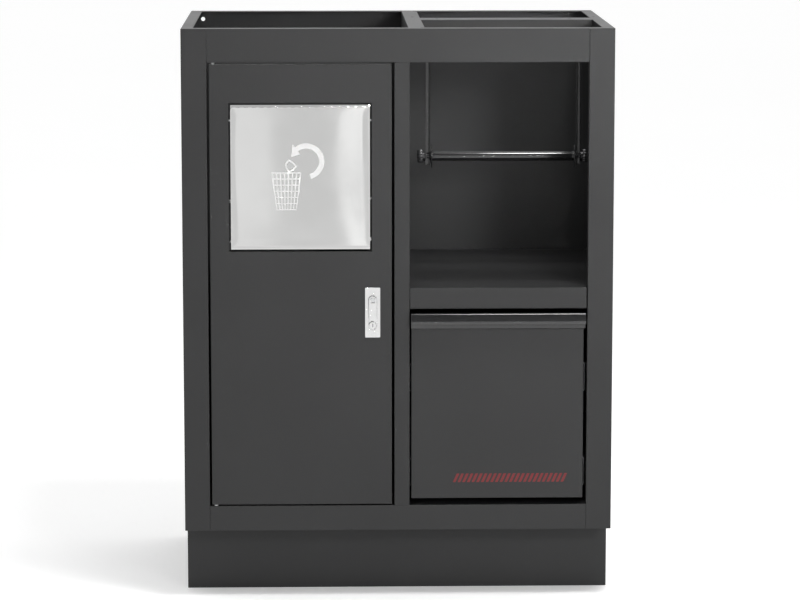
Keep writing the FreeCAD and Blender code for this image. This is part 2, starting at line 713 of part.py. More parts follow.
def cam_nut():
    """Nut that holds the cam on the spindle."""
    y = depth(FOLD + 4.8, FOLD + 8.8)
    nut = rod("y", 5.5, y[0], y[1], (LOCK_X, SPINDLE_Z))
    for step in range(6):
        place = turned(5.5 + 4.75, 60 * step)
        centre = (LOCK_X + place.x, SPINDLE_Z + place.y)
        side = block((-10, 10), y, (-5.5, 5.5))
        side.rotate(FreeCAD.Vector(0, 0, 0), FreeCAD.Vector(0, 1, 0), 90 - 60 * step)
        side.translate(FreeCAD.Vector(centre[0], 0, centre[1]))
        nut = nut.cut(side)
    bore = rod("y", SPINDLE_R, y[0] - 1, y[1] + 1, (LOCK_X, SPINDLE_Z))
    return nut.cut(bore)


def handle_lever():
    """Lever that tips out about its cross pin and turns the spindle; its heel is cut back to tip freely."""
    clear = 0.45
    y = (FRONT - LOCK_PLATE_PROUD - 4.4, FRONT - LOCK_PLATE_PROUD - clear)
    lever = stadium(LOCK_X, (LEVER_BOTTOM, GROOVE_Z[1] - 1.1), LEVER_R, y)
    room_z = (SPINDLE_Z - 4.4, SPINDLE_Z + 3.9)
    room = block((LOCK_X - 3.25, LOCK_X + 3.25), (y[0] - 1, y[1] + 1), room_z)
    button_room = rod("y", BUTTON_R + 0.6, y[0] - 1, y[1] + 1, (LOCK_X, BUTTON_Z))
    pin_y = FRONT - LOCK_PLATE_PROUD - 2.2
    hole = rod("x", LEVER_PIN_R, LOCK_X - 20, LOCK_X + 20, (pin_y, SPINDLE_Z))
    behind_plate = block((LOCK_X - 20, LOCK_X + 20), (pin_y + 2.2 - LEVER_HEEL_GAP, pin_y + 20),
                         (SPINDLE_Z - 30, SPINDLE_Z + 30))
    pin_line = FreeCAD.Vector(LOCK_X, pin_y, SPINDLE_Z)
    behind_plate.rotate(pin_line, FreeCAD.Vector(1, 0, 0), LEVER_TIP)
    heel = behind_plate.common(block((LOCK_X - 20, LOCK_X + 20), (y[0], y[1] + 1),
                                     (SPINDLE_Z, SPINDLE_Z + 30)))
    return lever.cut(room).cut(button_room).cut(hole).cut(heel)


LEVER_TIP = 30
LEVER_HEEL_GAP = 0.2


def lever_pin():
    """Cross pin of the lever."""
    y = FRONT - LOCK_PLATE_PROUD - 2.2
    return rod("x", LEVER_PIN_R, LOCK_X - LEVER_R + 0.3, LOCK_X + LEVER_R - 0.3, (y, SPINDLE_Z))


# ---------------------------------------------------------------- drawer

def drawer_front():
    """Front pan of the drawer with shallow folds."""
    fold = 15.0
    shell = block(DRAWER_X, depth(0, fold), DRAWER_Z)
    inside_x = (DRAWER_X[0] + SHEET, DRAWER_X[1] - SHEET)
    inside_z = (DRAWER_Z[0] + SHEET, DRAWER_Z[1] - SHEET)
    return shell.cut(block(inside_x, depth(SHEET, fold + 1), inside_z))


def drawer_handle():
    """Grip profile along the top of the front: a brow that slopes to a nose over a finger space."""
    web = 2.0
    proud = HANDLE_PROUD
    top = GRIP_TOP
    points = {
        "back_low": (web, DRAWER_Z[1]),
        "back_high": (web, top),
        "top_end": (-7.0, top),
        "brow_middle": (-8.4, top - 0.6),
        "brow_end": (-9.3, top - 1.9),
        "slope_end": (-15.2, top - 10.2),
        "nose_middle": (-proud, top - 13.2),
        "nose_end": (-14.3, top - 16.6),
        "lip_end": (-12.6, top - 15.6),
        "inner_nose": (-14.0, top - 13.2),
        "inner_slope": (-13.5, top - 11.3),
        "inner_brow": (-8.0, top - web - 1.0),
        "inner_top": (-6.6, top - web),
        "web_high": (0, top - web),
        "web_low": (0, DRAWER_Z[1]),
    }
    place = {name: FreeCAD.Vector(GRIP_X[0], FRONT + y, z) for name, (y, z) in points.items()}

    def line(start, end):
        return Part.makeLine(place[start], place[end])

    def arc(start, middle, end):
        return Part.Arc(place[start], place[middle], place[end]).toShape()

    outline = Part.Wire([
        line("back_low", "back_high"),
        line("back_high", "top_end"),
        arc("top_end", "brow_middle", "brow_end"),
        line("brow_end", "slope_end"),
        arc("slope_end", "nose_middle", "nose_end"),
        line("nose_end", "lip_end"),
        arc("lip_end", "inner_nose", "inner_slope"),
        line("inner_slope", "inner_brow"),
        line("inner_brow", "inner_top"),
        line("inner_top", "web_high"),
        line("web_high", "web_low"),
        line("web_low", "back_low"),
    ])
    return Part.Face(outline).extrude(FreeCAD.Vector(GRIP_X[1] - GRIP_X[0], 0, 0))


def drawer_box():
    """Open box behind the front."""
    near = 15.0
    shell = block(BOX_X, depth(near, BOX_BACK), BOX_Z)
    inside_x = (BOX_X[0] + SHEET, BOX_X[1] - SHEET)
    inside_y = depth(near + SHEET, BOX_BACK - SHEET)
    return shell.cut(block(inside_x, inside_y, (BOX_Z[0] + SHEET, BOX_Z[1] + 1)))


def handle_bracket():
    """Angle that ties the grip profile to the top of the drawer's front."""
    x = (DRAWER_X[0] + 12, DRAWER_X[1] - 12)
    upright = block(x, depth(2.0, 2.0 + SHEET), (DRAWER_Z[1], GRIP_TOP - 2))
    foot = block(x, depth(2.0, 14.0), (DRAWER_Z[1], DRAWER_Z[1] + SHEET))
    return join(upright, foot)


def drawer_screws():
    """Screws from inside the drawer into its front, two on each side."""
    screws = []
    for x in (BOX_X[0] + 25, BOX_X[1] - 25):
        for z in (BOX_Z[0] + 40, BOX_Z[1] - 40):
            head = rod("y", 4.0, FRONT + 16.5, FRONT + 19.1, (x, z))
            screws.append(head)
    return group(screws)


def c_section(wall_x, reach, half_height, y, z, thickness):
    """A slide member: an upright web at wall_x with its two edges folded sideways by reach."""
    toward = 1 if reach > 0 else -1
    web_x = sorted((wall_x, wall_x + toward * thickness))
    fold_x = sorted((wall_x, wall_x + reach))
    web = block(web_x, y, (z - half_height, z + half_height))
    top = block(fold_x, y, (z + half_height - thickness, z + half_height))
    bottom = block(fold_x, y, (z - half_height, z - half_height + thickness))
    return join(web, top, bottom)


def slide_places():
    """Wall side X and inward direction of each slide, with its height."""
    return [(wall, inward, z)
            for wall, inward in ((MID_RIGHT, 1), (SLIDE_RIGHT, -1))
            for z in SLIDE_LEVELS]


def slide_outer_members():
    """Fixed outer channels of the four ball slides."""
    y = depth(SLIDE_START, SLIDE_START + SLIDE_LENGTH)
    half = SLIDE_HEIGHT / 2
    return group(c_section(wall, inward * 10.5, half, y, z, SLIDE_SHEET)
                 for wall, inward, z in slide_places())


def slide_middle_members():
    """Middle channels, which travel half as far as the drawer."""
    y = depth(SLIDE_START + 2, SLIDE_START + SLIDE_LENGTH - 2)
    return group(c_section(wall + inward * 3.2, inward * 8.0, 18.4, y, z, SLIDE_SHEET)
                 for wall, inward, z in slide_places())


def slide_inner_members():
    """Inner channels, screwed to the sides of the drawer."""
    y = depth(SLIDE_START + 1, SLIDE_START + SLIDE_LENGTH - 4)
    return group(c_section(wall + inward * SLIDE_WIDTH, -inward * 6.5, 14.5, y, z, SLIDE_SHEET)
                 for wall, inward, z in slide_places())


def slide_spacers():
    """Channels that bring the right-hand slides out to the edge of the opening."""
    y = depth(SLIDE_START + 2, SLIDE_START + SLIDE_LENGTH - 2)
    half = SLIDE_HEIGHT / 2
    spacers = []
    for z in SLIDE_LEVELS:
        spacers.append(c_section(SLIDE_RIGHT, INNER - SLIDE_RIGHT, half, y, z, SHEET))
    return group(spacers)


# ---------------------------------------------------------------- waste bin

def rounded_rectangle(x, y, z, corner):
    """A horizontal wire: a rectangle with round corners."""
    box = Part.makePolygon([FreeCAD.Vector(a, b, z) for a, b in (
        (x[0], y[0]), (x[1], y[0]), (x[1], y[1]), (x[0], y[1]), (x[0], y[0]))])
    slab = Part.Face(box).extrude(FreeCAD.Vector(0, 0, 1))
    upright = [edge for edge in slab.Edges if abs(edge.tangentAt(edge.FirstParameter).z) > 0.9]
    slab = slab.makeFillet(corner, upright)
    floor = min(slab.Faces, key=lambda face: face.CenterOfMass.z)
    return floor.OuterWire


def tapered(inset, z):
    """A tapered block of the bin's shape, set in from its outside by inset."""
    wires = []
    corner = BIN_CORNER - inset
    for height in z:
        slope = BIN_TAPER * (BIN_TOP - height) / (BIN_TOP - FLOOR_TOP)
        step = inset + slope
        x = (BIN_TOP_X[0] + step, BIN_TOP_X[1] - step)
        y = depth(BIN_TOP_DEPTH[0] + step, BIN_TOP_DEPTH[1] - step)
        wires.append(rounded_rectangle(x, y, height, corner))
    return Part.makeLoft(wires, True, True)


def waste_bin():
    """Lift-out bin: a tapered tub with a rolled rim, standing on the cabinet's floor."""
    outer = tapered(0, (FLOOR_TOP, BIN_TOP))
    inner = tapered(BIN_WALL, (FLOOR_TOP + BIN_WALL, BIN_TOP + 1))
    rim_x = (BIN_TOP_X[0] - BIN_RIM, BIN_TOP_X[1] + BIN_RIM)
    rim_y = depth(BIN_TOP_DEPTH[0] - BIN_RIM, BIN_TOP_DEPTH[1] + BIN_RIM)
    rim_wire = rounded_rectangle(rim_x, rim_y, BIN_TOP - BIN_RIM, BIN_CORNER + BIN_RIM)
    rim = Part.Face(rim_wire).extrude(FreeCAD.Vector(0, 0, BIN_RIM))
    return outer.fuse(rim).cut(inner).removeSplitter()


NODES = {
    "side_panel_left": side_panel_left,
    "side_panel_right": side_panel_right,
    "back_panel": back_panel,
    "base_panel": base_panel,
    "top_front_rail": top_front_rail,
    "bottom_front_rail": bottom_front_rail,
    "partition_panel": partition_panel,
    "shelf_tray": shelf_tray,
    "plinth_front": plinth_front,
    "plinth_rear": plinth_rear,
    "plinth_left": plinth_left,
    "plinth_right": plinth_right,
    "plinth_bolts": plinth_bolts,
    "roll_cross_bar": roll_cross_bar,
    "roll_hanger_left": lambda: roll_hanger(HANGER_X[0]),
    "roll_hanger_right": lambda: roll_hanger(HANGER_X[1]),
    "hanger_screws": hanger_screws,
    "roll_rod": roll_rod,
    "roll_discs": roll_discs,
    "roll_knobs": roll_knobs,
    "door_panel": door_panel,
    "door_pivot_bushes": door_pivot_bushes,
    "door_pivot_pins": door_pivot_pins,
    "door_stiffener": door_stiffener,
    "door_buffers": door_buffers,
    "flap_pivot_bushes": flap_pivot_bushes,
    "flap_plate": flap_plate,
    "flap_pins": flap_pins,
    "lock_housing": lock_housing,
    "lock_clamp": lock_clamp,
    "lock_button": lock_button,
    "lock_spindle": lock_spindle,
    "lock_cam": lock_cam,
    "cam_nut": cam_nut,
    "handle_lever": handle_lever,
    "lever_pin": lever_pin,
    "drawer_front": drawer_front,
    "drawer_handle": drawer_handle,
    "handle_bracket": handle_bracket,
    "drawer_box": drawer_box,
    "drawer_screws": drawer_screws,
    "slide_outer_members": slide_outer_members,
    "slide_middle_members": slide_middle_members,
    "slide_inner_members": slide_inner_members,
    "slide_spacers": slide_spacers,
    "waste_bin": waste_bin,
}

for node, make in NODES.items():
    shape = make()
    shape.exportStep("parts/" + node + ".step")
    print(node, len(shape.Solids), "solids", round(shape.Volume / 1000, 1), "cm3", shape.isValid())
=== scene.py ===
"""Finishes a workshop cabinet: folded sheet, polished flap, lock, roll holder, drawer, slides and bin."""
import json
import math

import bmesh
import bpy
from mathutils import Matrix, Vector

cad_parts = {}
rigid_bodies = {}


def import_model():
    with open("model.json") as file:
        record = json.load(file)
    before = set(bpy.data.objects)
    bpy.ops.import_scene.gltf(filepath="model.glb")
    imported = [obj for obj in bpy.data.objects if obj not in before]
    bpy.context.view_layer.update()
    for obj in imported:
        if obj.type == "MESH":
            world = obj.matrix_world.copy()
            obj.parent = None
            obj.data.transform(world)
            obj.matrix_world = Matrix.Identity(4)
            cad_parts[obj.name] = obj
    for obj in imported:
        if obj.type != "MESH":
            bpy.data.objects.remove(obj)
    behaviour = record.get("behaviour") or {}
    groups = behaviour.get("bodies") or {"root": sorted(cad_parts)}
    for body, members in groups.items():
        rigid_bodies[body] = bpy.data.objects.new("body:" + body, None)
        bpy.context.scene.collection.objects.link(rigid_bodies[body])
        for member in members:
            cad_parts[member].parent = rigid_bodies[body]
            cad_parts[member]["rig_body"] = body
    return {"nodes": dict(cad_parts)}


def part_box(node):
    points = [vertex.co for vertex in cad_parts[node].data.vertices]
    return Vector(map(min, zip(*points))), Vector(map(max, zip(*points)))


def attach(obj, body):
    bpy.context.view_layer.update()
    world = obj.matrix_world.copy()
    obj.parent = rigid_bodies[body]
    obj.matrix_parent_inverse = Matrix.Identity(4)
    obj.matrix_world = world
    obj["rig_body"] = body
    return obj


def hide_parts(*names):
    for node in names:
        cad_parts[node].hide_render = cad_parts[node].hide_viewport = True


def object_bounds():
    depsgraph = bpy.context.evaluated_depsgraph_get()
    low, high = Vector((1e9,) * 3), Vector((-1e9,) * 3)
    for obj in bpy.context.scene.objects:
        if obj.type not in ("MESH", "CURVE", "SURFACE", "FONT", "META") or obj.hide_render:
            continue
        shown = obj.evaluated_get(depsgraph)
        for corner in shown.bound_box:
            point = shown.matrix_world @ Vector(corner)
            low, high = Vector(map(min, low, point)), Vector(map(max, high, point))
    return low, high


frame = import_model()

bl_info = {
    "name": "Workshop Waste Cabinet",
    "version": (1, 0, 0),
    "blender": (4, 5, 0),
    "location": "View3D > Sidebar > Cabinet",
    "description": "Builds a workshop cabinet with a waste flap, a paper roll bay and a drawer",
    "category": "Add Mesh",
}

CAD_BOX = [list(corner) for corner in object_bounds()]


# ---------------------------------------------------------------- settings

class CabinetSizes(bpy.types.PropertyGroup):
    """Sizes that a maker would change."""

    bend: bpy.props.FloatProperty(
        name="Bend radius", description="Outside radius where the sheet is folded",
        default=0.0018, min=0.0003, max=0.005, unit="LENGTH")
    rim: bpy.props.FloatProperty(
        name="Cut edge", description="Rounding of the sheet's cut edges under the paint",
        default=0.0003, min=0.0, max=0.0007, unit="LENGTH")
    edge: bpy.props.FloatProperty(
        name="Part edge", description="Rounding of the edges of solid parts",
        default=0.0004, min=0.0, max=0.002, unit="LENGTH")
    peel: bpy.props.FloatProperty(
        name="Paint texture", description="Spacing of the bumps in the powder coat",
        default=0.0016, min=0.0005, max=0.01, unit="LENGTH")
    wave: bpy.props.FloatProperty(
        name="Flap wave", description="How far the polished flap waves in and out",
        default=0.00042, min=0.0, max=0.001, unit="LENGTH")
    rib_gap: bpy.props.FloatProperty(
        name="Bin rib spacing", description="Distance between the upright ribs of the bin",
        default=0.030, min=0.01, max=0.1, unit="LENGTH")
    slide_holes: bpy.props.IntProperty(
        name="Slide screws", description="Screws along each slide", default=4, min=2, max=8)
    balls: bpy.props.IntProperty(
        name="Slide balls", description="Balls along each race", default=12, min=4, max=30)
    dashes: bpy.props.IntProperty(
        name="Drawer dashes", description="Dashes in the line on the drawer", default=24, min=4, max=60)


def colour_setting(name, description, value):
    """A colour property with its default."""
    return bpy.props.FloatVectorProperty(
        name=name, description=description, default=value, subtype="COLOR", min=0.0, max=1.0)


class CabinetColours(bpy.types.PropertyGroup):
    """Base colours of the finishes."""

    paint: colour_setting("Paint", "Powder coat of the sheet metal", (0.0268, 0.0269, 0.0273))
    gloss: colour_setting("Gloss black", "Grip, rod and hangers", (0.006, 0.006, 0.0065))
    plastic: colour_setting("Plastic", "Knobs, bushes and bin", (0.018, 0.018, 0.019))
    zinc: colour_setting("Zinc", "Plated slides and fasteners", (0.55, 0.56, 0.58))
    steel: colour_setting("Polished steel", "Swing flap", (0.56, 0.56, 0.555))
    chrome: colour_setting("Satin chrome", "Lock", (0.66, 0.66, 0.66))
    etched: colour_setting("Etched steel", "Symbol on the flap", (0.60, 0.60, 0.595))
    line: colour_setting("Line", "Printed dashes on the drawer", (0.15, 0.004, 0.006))
    floor: colour_setting("Floor", "Studio floor", (0.86, 0.86, 0.86))


def sizes():
    """The scene's sizes."""
    return bpy.context.scene.cabinet_sizes


def colour(name):
    """One of the scene's colours, with its alpha."""
    return (*getattr(bpy.context.scene.cabinet_colours, name), 1.0)


# ---------------------------------------------------------------- node trees

class Value:
    """A socket that carries a number; arithmetic on it adds Math nodes to its tree."""

    def __init__(self, graph, socket):
        self.graph = graph
        self.socket = socket

    def __add__(self, other):
        return self.graph.math("ADD", self, other)

    __radd__ = __add__

    def __mul__(self, other):
        return self.graph.math("MULTIPLY", self, other)

    __rmul__ = __mul__

    def __sub__(self, other):
        return self.graph.math("SUBTRACT", self, other)

    def __rsub__(self, other):
        return self.graph.math("SUBTRACT", other, self)


class Graph:
    """A node tree and the one method that adds nodes to it."""

    def __init__(self, tree):
        self.tree = tree

    def node(self, kind, settings=None, values=None):
        """Adds a node: first its settings or ramp stops, then its sockets' values or links."""
        made = self.tree.nodes.new(kind)
        for name, value in (settings or {}).items():
            if name == "stops":
                set_stops(made.color_ramp, value)
            else:
                setattr(made, name, value)
        for name, value in (values or {}).items():
            source = value.socket if isinstance(value, Value) else value
            if isinstance(source, bpy.types.NodeSocket):
                self.tree.links.new(source, made.inputs[name])
            else:
                made.inputs[name].default_value = source
        return made

    def math(self, operation, first, second=0.0):
        """A Math node's result."""
        made = self.node("ShaderNodeMath", {"operation": operation}, {0: first, 1: second})
        return Value(self, made.outputs[0])


def set_stops(ramp, stops):
    """Gives a colour ramp its stops, as pairs of place and grey level."""
    while len(ramp.elements) < len(stops):
        ramp.elements.new(1.0)
    for element, (place, level) in zip(ramp.elements, stops):
        element.position = place
        element.color = (level, level, level, 1.0)


class Finish(Graph):
    """A material whose patterns are fixed to the object."""

    def __init__(self, name):
        self.material = bpy.data.materials.new(name)
        self.material.use_nodes = True
        super().__init__(self.material.node_tree)
        self.tree.nodes.clear()
        self.place = self.node("ShaderNodeTexCoord").outputs["Object"]

    def stretched(self, scale):
        """The place, scaled along each axis."""
        values = {"Vector": self.place, "Scale": scale}
        return self.node("ShaderNodeMapping", None, values).outputs[0]

    def noise(self, spacing, detail=2.0, roughness=0.5, place=None):
        """Soft random bumps of about the given spacing in metres, from 0 to 1."""
        values = {"Vector": place or self.place, "Scale": 1.0 / spacing,
                  "Detail": detail, "Roughness": roughness}
        return Value(self, self.node("ShaderNodeTexNoise", None, values).outputs[0])

    def ramp(self, value, *stops):
        """A value reshaped by grey stops."""
        made = self.node("ShaderNodeValToRGB", {"stops": stops}, {0: value})
        return Value(self, made.outputs[0])

    def mix(self, factor, first, second):
        """A colour between two others."""
        made = self.node("ShaderNodeMix", {"data_type": "RGBA"}, {0: factor, 6: first, 7: second})
        return made.outputs[2]

    def shades(self, factor, shade, darker, lighter):
        """A colour between a darker and a lighter shade of one colour."""
        return self.mix(factor, scaled(shade, darker), scaled(shade, lighter))

    def bump(self, height, strength, distance):
        """A surface normal disturbed by a height."""
        values = {"Height": height, "Strength": strength, "Distance": distance}
        return self.node("ShaderNodeBump", None, values).outputs[0]

    def shade(self, **sockets):
        """Ends the material in a Principled shader with these sockets."""
        values = {name.replace("_", " ").title(): value for name, value in sockets.items()}
        values = {name.replace("Ior Level", "IOR Level"): value for name, value in values.items()}
        shader = self.node("ShaderNodeBsdfPrincipled", None, values)
        self.node("ShaderNodeOutputMaterial", None, {"Surface": shader.outputs[0]})
        return self.material


def scaled(shade, factor):
    """A colour made darker or lighter."""
    return (*(min(1.0, part * factor) for part in shade[:3]), 1.0)


def powder_coat():
    """Satin anthracite powder coat: fine orange peel, faint clouds and a little dust."""
    finish = Finish("powder_coat")
    paint = colour("paint")
    peel = finish.noise(sizes().peel)
    flow = finish.noise(sizes().peel * 6)
    cloud = finish.noise(0.16, 3.0, 0.55)
    dust = finish.ramp(finish.noise(0.0009, 3.0, 0.7), (0.0, 0.0), (0.68, 0.0), (0.76, 1.0))
    tone = finish.shades(cloud, paint, 0.86, 1.14)
    tone = finish.mix(dust * 0.12, tone, scaled(paint, 3.2))
    rough = 0.37 + cloud * 0.10 + peel * 0.05
    normal = finish.bump(peel * 0.7 + flow * 0.5, 0.16, 0.00012)
    return finish.shade(base_color=tone, roughness=rough, specular_ior_level=0.24, normal=normal)


def gloss_black():
    """Deep gloss enamel with a slow ripple and fine hairlines."""
    finish = Finish("gloss_black")
    base = colour("gloss")
    ripple = finish.noise(0.018)
    hair = finish.noise(0.0012, place=finish.stretched((0.03, 1.0, 1.0)))
    tone = finish.mix(ripple, base, scaled(base, 1.9))
    rough = 0.13 + ripple * 0.05 + hair * 0.05
    normal = finish.bump(ripple, 0.10, 0.0004)
    return finish.shade(base_color=tone, roughness=rough, specular_ior_level=0.6, coat_weight=0.6,
                        coat_roughness=0.10, normal=normal)


def bush_plastic():
    """Black bearing plastic: smooth, with faint flow marks and rubbed patches."""
    finish = Finish("bush_plastic")
    base = colour("plastic")
    flow = finish.noise(0.004)
    rubbed = finish.ramp(finish.noise(0.003, 3.0), (0.5, 0.0), (0.7, 1.0))
    tone = finish.shades(flow, base, 0.8, 1.5)
    rough = 0.38 + flow * 0.10 - rubbed * 0.12
    return finish.shade(base_color=tone, roughness=rough, normal=finish.bump(flow, 0.08, 0.0001))


def moulded_plastic():
    """Black moulded plastic with a fine spark-eroded grain and scuffs."""
    finish = Finish("moulded_plastic")
    base = colour("plastic")
    grain = finish.noise(0.0007, 3.0, 0.6)
    scuff = finish.ramp(finish.noise(0.03, 5.0, 0.62), (0.45, 0.0), (0.72, 1.0))
    tone = finish.mix(scuff * 0.5, base, scaled(base, 2.4))
    rough = 0.42 + grain * 0.14 + scuff * 0.10
    return finish.shade(base_color=tone, roughness=rough, normal=finish.bump(grain, 0.25, 0.00012))


def gloss_plastic():
    """Shiny black moulding for the knobs."""
    finish = Finish("gloss_plastic")
    base = colour("plastic")
    swirl = finish.noise(0.008, 3.0)
    tone = finish.shades(swirl, base, 0.5, 1.1)
    return finish.shade(base_color=tone, roughness=0.16 + swirl * 0.12, coat_weight=0.3,
                        coat_roughness=0.1, normal=finish.bump(swirl, 0.1, 0.0002))


def rubber():
    """Matt black rubber."""
    finish = Finish("rubber")
    base = colour("plastic")
    bloom = finish.noise(0.003, 4.0, 0.7)
    tone = finish.shades(bloom, base, 0.7, 1.9)
    return finish.shade(base_color=tone, roughness=0.72 + bloom * 0.15,
                        normal=finish.bump(bloom, 0.3, 0.0002))


def zinc_plate():
    """Bright zinc over rolled steel, with drawing lines along the part and cloudy passivation."""
    finish = Finish("zinc_plate")
    base = colour("zinc")
    cloud = finish.noise(0.012, 4.0, 0.6)
    rolled = finish.noise(0.0009, 3.0, 0.6, finish.stretched((1.0, 0.02, 1.0)))
    stain = finish.ramp(finish.noise(0.05, 3.0), (0.4, 0.0), (0.7, 1.0))
    warm = (base[0] * 1.02, base[1] * 0.97, base[2] * 0.88, 1.0)
    tone = finish.shades(cloud, base, 0.78, 1.12)
    tone = finish.mix(stain * 0.35, tone, warm)
    rough = 0.27 + cloud * 0.14 + rolled * 0.10
    return finish.shade(base_color=tone, metallic=1.0, roughness=rough,
                        normal=finish.bump(rolled, 0.12, 0.0001))


def polished_steel():
    """Mirror-polished stainless sheet with faint polishing haze and hairline scratches."""
    finish = Finish("polished_steel")
    base = colour("steel")
    haze = finish.noise(0.07, 3.0, 0.55)
    hair = finish.noise(0.0006, 2.0, 0.6, finish.stretched((1.0, 1.0, 0.02)))
    smear = finish.ramp(finish.noise(0.11, 4.0, 0.6), (0.42, 0.0), (0.66, 1.0))
    tone = finish.shades(haze, base, 0.95, 1.05)
    rough = 0.03 + smear * 0.04 + hair * 0.02
    return finish.shade(base_color=tone, metallic=1.0, roughness=rough,
                        normal=finish.bump(haze, 0.05, 0.0003))


def etched_steel():
    """Frosted steel of the etched symbol."""
    finish = Finish("etched_steel")
    base = colour("etched")
    frost = finish.noise(0.0006, 3.0, 0.7)
    tone = finish.shades(frost, base, 0.94, 1.06)
    return finish.shade(base_color=tone, metallic=0.55, roughness=0.5 + frost * 0.12,
                        normal=finish.bump(frost, 0.25, 0.00006))


def satin_chrome():
    """Satin chrome on die-cast zinc: upright brushing and softly worn lights."""
    finish = Finish("satin_chrome")
    base = colour("chrome")
    brushed = finish.noise(0.0005, 3.0, 0.65, finish.stretched((1.0, 1.0, 0.05)))
    cloud = finish.noise(0.01, 3.0)
    tone = finish.shades(cloud, base, 0.93, 1.08)
    rough = 0.15 + brushed * 0.10 + cloud * 0.04
    return finish.shade(base_color=tone, metallic=1.0, roughness=rough,
                        normal=finish.bump(brushed, 0.10, 0.00006))


def printed_line():
    """Screen-printed red ink on the drawer."""
    finish = Finish("printed_line")
    base = colour("line")
    film = finish.noise(0.0008, 3.0, 0.6)
    wear = finish.noise(0.012, 4.0, 0.6)
    tone = finish.shades(wear, base, 0.75, 1.2)
    return finish.shade(base_color=tone, roughness=0.40 + film * 0.12,
                        normal=finish.bump(film, 0.2, 0.00005))


def studio_floor():
    """Plain pale floor with a faint cloudiness."""
    finish = Finish("studio_floor")
    base = colour("floor")
    cloud = finish.noise(1.4)
    tone = finish.mix(cloud, scaled(base, 0.985), base)
    return finish.shade(base_color=tone, roughness=0.55 + cloud * 0.05, emission_color=tone,
                        emission_strength=0.31, specular_ior_level=0.0)


MAKERS = {maker.__name__: maker for maker in (
    powder_coat, gloss_black, moulded_plastic, bush_plastic, gloss_plastic, rubber, zinc_plate,
    polished_steel, etched_steel, satin_chrome, printed_line, studio_floor)}
MADE = {}


def material(name):
    """The named finish, made the first time that it is asked for.

    The frame brings its own plain materials under the slots' names, so they are never looked up.
    """
    if name not in MADE:
        MADE[name] = MAKERS[name]()
    return MADE[name]


# ---------------------------------------------------------------- mesh tools

SHEET = 0.0015                      # thickness of the folded sheet
SHORT_EDGE = 0.0012                 # an edge shorter than this stays sharp
CUT_EDGE = 0.0035                   # a face narrower than this is a cut edge of the sheet
FOLD_ANGLE = math.radians(30)       # a fold turns by at least this
SHARP_ANGLE = math.radians(38)      # an edge sharper than this is rounded or shaded sharp
HEAD_RADIUS = 0.004                 # button-head screws
HEAD_HEIGHT = 0.0026


def piece_from(mesh, name):
    """A scene object at the origin for a bmesh or a mesh."""
    if isinstance(mesh, bmesh.types.BMesh):
        data = bpy.data.meshes.new(name)
        mesh.to_mesh(data)
        mesh.free()
    else:
        data = mesh
        data.name = name
    made = bpy.data.objects.new(name, data)
    bpy.context.scene.collection.objects.link(made)
    return made


def plain(piece):
    """Turns a piece's modifiers into its mesh."""
    graph = bpy.context.evaluated_depsgraph_get()
    data = bpy.data.meshes.new_from_object(piece.evaluated_get(graph))
    piece.modifiers.clear()
    piece.data = data
    return piece


def finished(piece, finish, body, *nodes):
    """Gives a piece its material and body, and hides the CAD nodes that it stands for."""
    piece.data.materials.clear()
    piece.data.materials.append(material(finish))
    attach(piece, body)
    if nodes:
        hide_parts(*nodes)
    return piece


def body_of(node):
    """The body that a CAD node rides on."""
    return frame["nodes"][node]["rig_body"]


def merged(node):
    """A bmesh of a CAD node with its triangles joined into flat faces."""
    mesh = bmesh.new()
    mesh.from_mesh(frame["nodes"][node].data)
    bmesh.ops.remove_doubles(mesh, verts=mesh.verts, dist=1e-5)
    bmesh.ops.dissolve_limit(mesh, angle_limit=math.radians(1), verts=mesh.verts, edges=mesh.edges)
    mesh.normal_update()
    return mesh


def reach(face, edge):
    """How far a face extends from one of its edges."""
    start = edge.verts[0].co
    along = (edge.verts[1].co - start).normalized()
    gaps = [(vert.co - start) - along * (vert.co - start).dot(along) for vert in face.verts]
    return max(gap.length for gap in gaps)


def fold_weight(edge):
    """How much of the bend radius an edge of folded sheet gets."""
    if len(edge.link_faces) != 2 or edge.calc_length() < SHORT_EDGE:
        return 0.0
    if edge.calc_face_angle() < FOLD_ANGLE:
        return 0.0
    setting = sizes()
    inside = max(setting.bend - SHEET, 0.0003)
    wide = min(reach(face, edge) for face in edge.link_faces) > CUT_EDGE
    radius = setting.rim if not wide else setting.bend if edge.is_convex else inside
    return min(radius / setting.bend, 1.0)


def rounded_sheet(node, radius):
    """The shape of a CAD sheet with round bends and softened cut edges."""
    mesh = merged(node)
    layer = mesh.edges.layers.float.new("bevel_weight_edge")
    for edge in mesh.edges:
        edge[layer] = fold_weight(edge)
    piece = piece_from(mesh, node + "_sheet")
    add_bevel(piece, radius, 3, "WEIGHT")
    return plain(piece)


def folded_sheet(node, finish="powder_coat"):
    """A finished CAD sheet."""
    return finished(rounded_sheet(node, sizes().bend), finish, body_of(node), node)


def solid_part(node, finish, radius=None):
    """A finished CAD part with rounded edges."""
    piece = piece_from(merged(node), node + "_part")
    add_bevel(piece, radius or sizes().edge, 2, "ANGLE")
    return finished(plain(piece), finish, body_of(node), node)


def add_bevel(piece, width, segments, limit):
    """Rounds a piece's edges and keeps its flat faces flat."""
    bevel = piece.modifiers.new("round", "BEVEL")
    bevel.width = width
    bevel.segments = segments
    bevel.limit_method = limit
    bevel.angle_limit = SHARP_ANGLE
    bevel.harden_normals = True
    piece.data.shade_smooth()
    piece.data.set_sharp_from_angle(angle=SHARP_ANGLE)


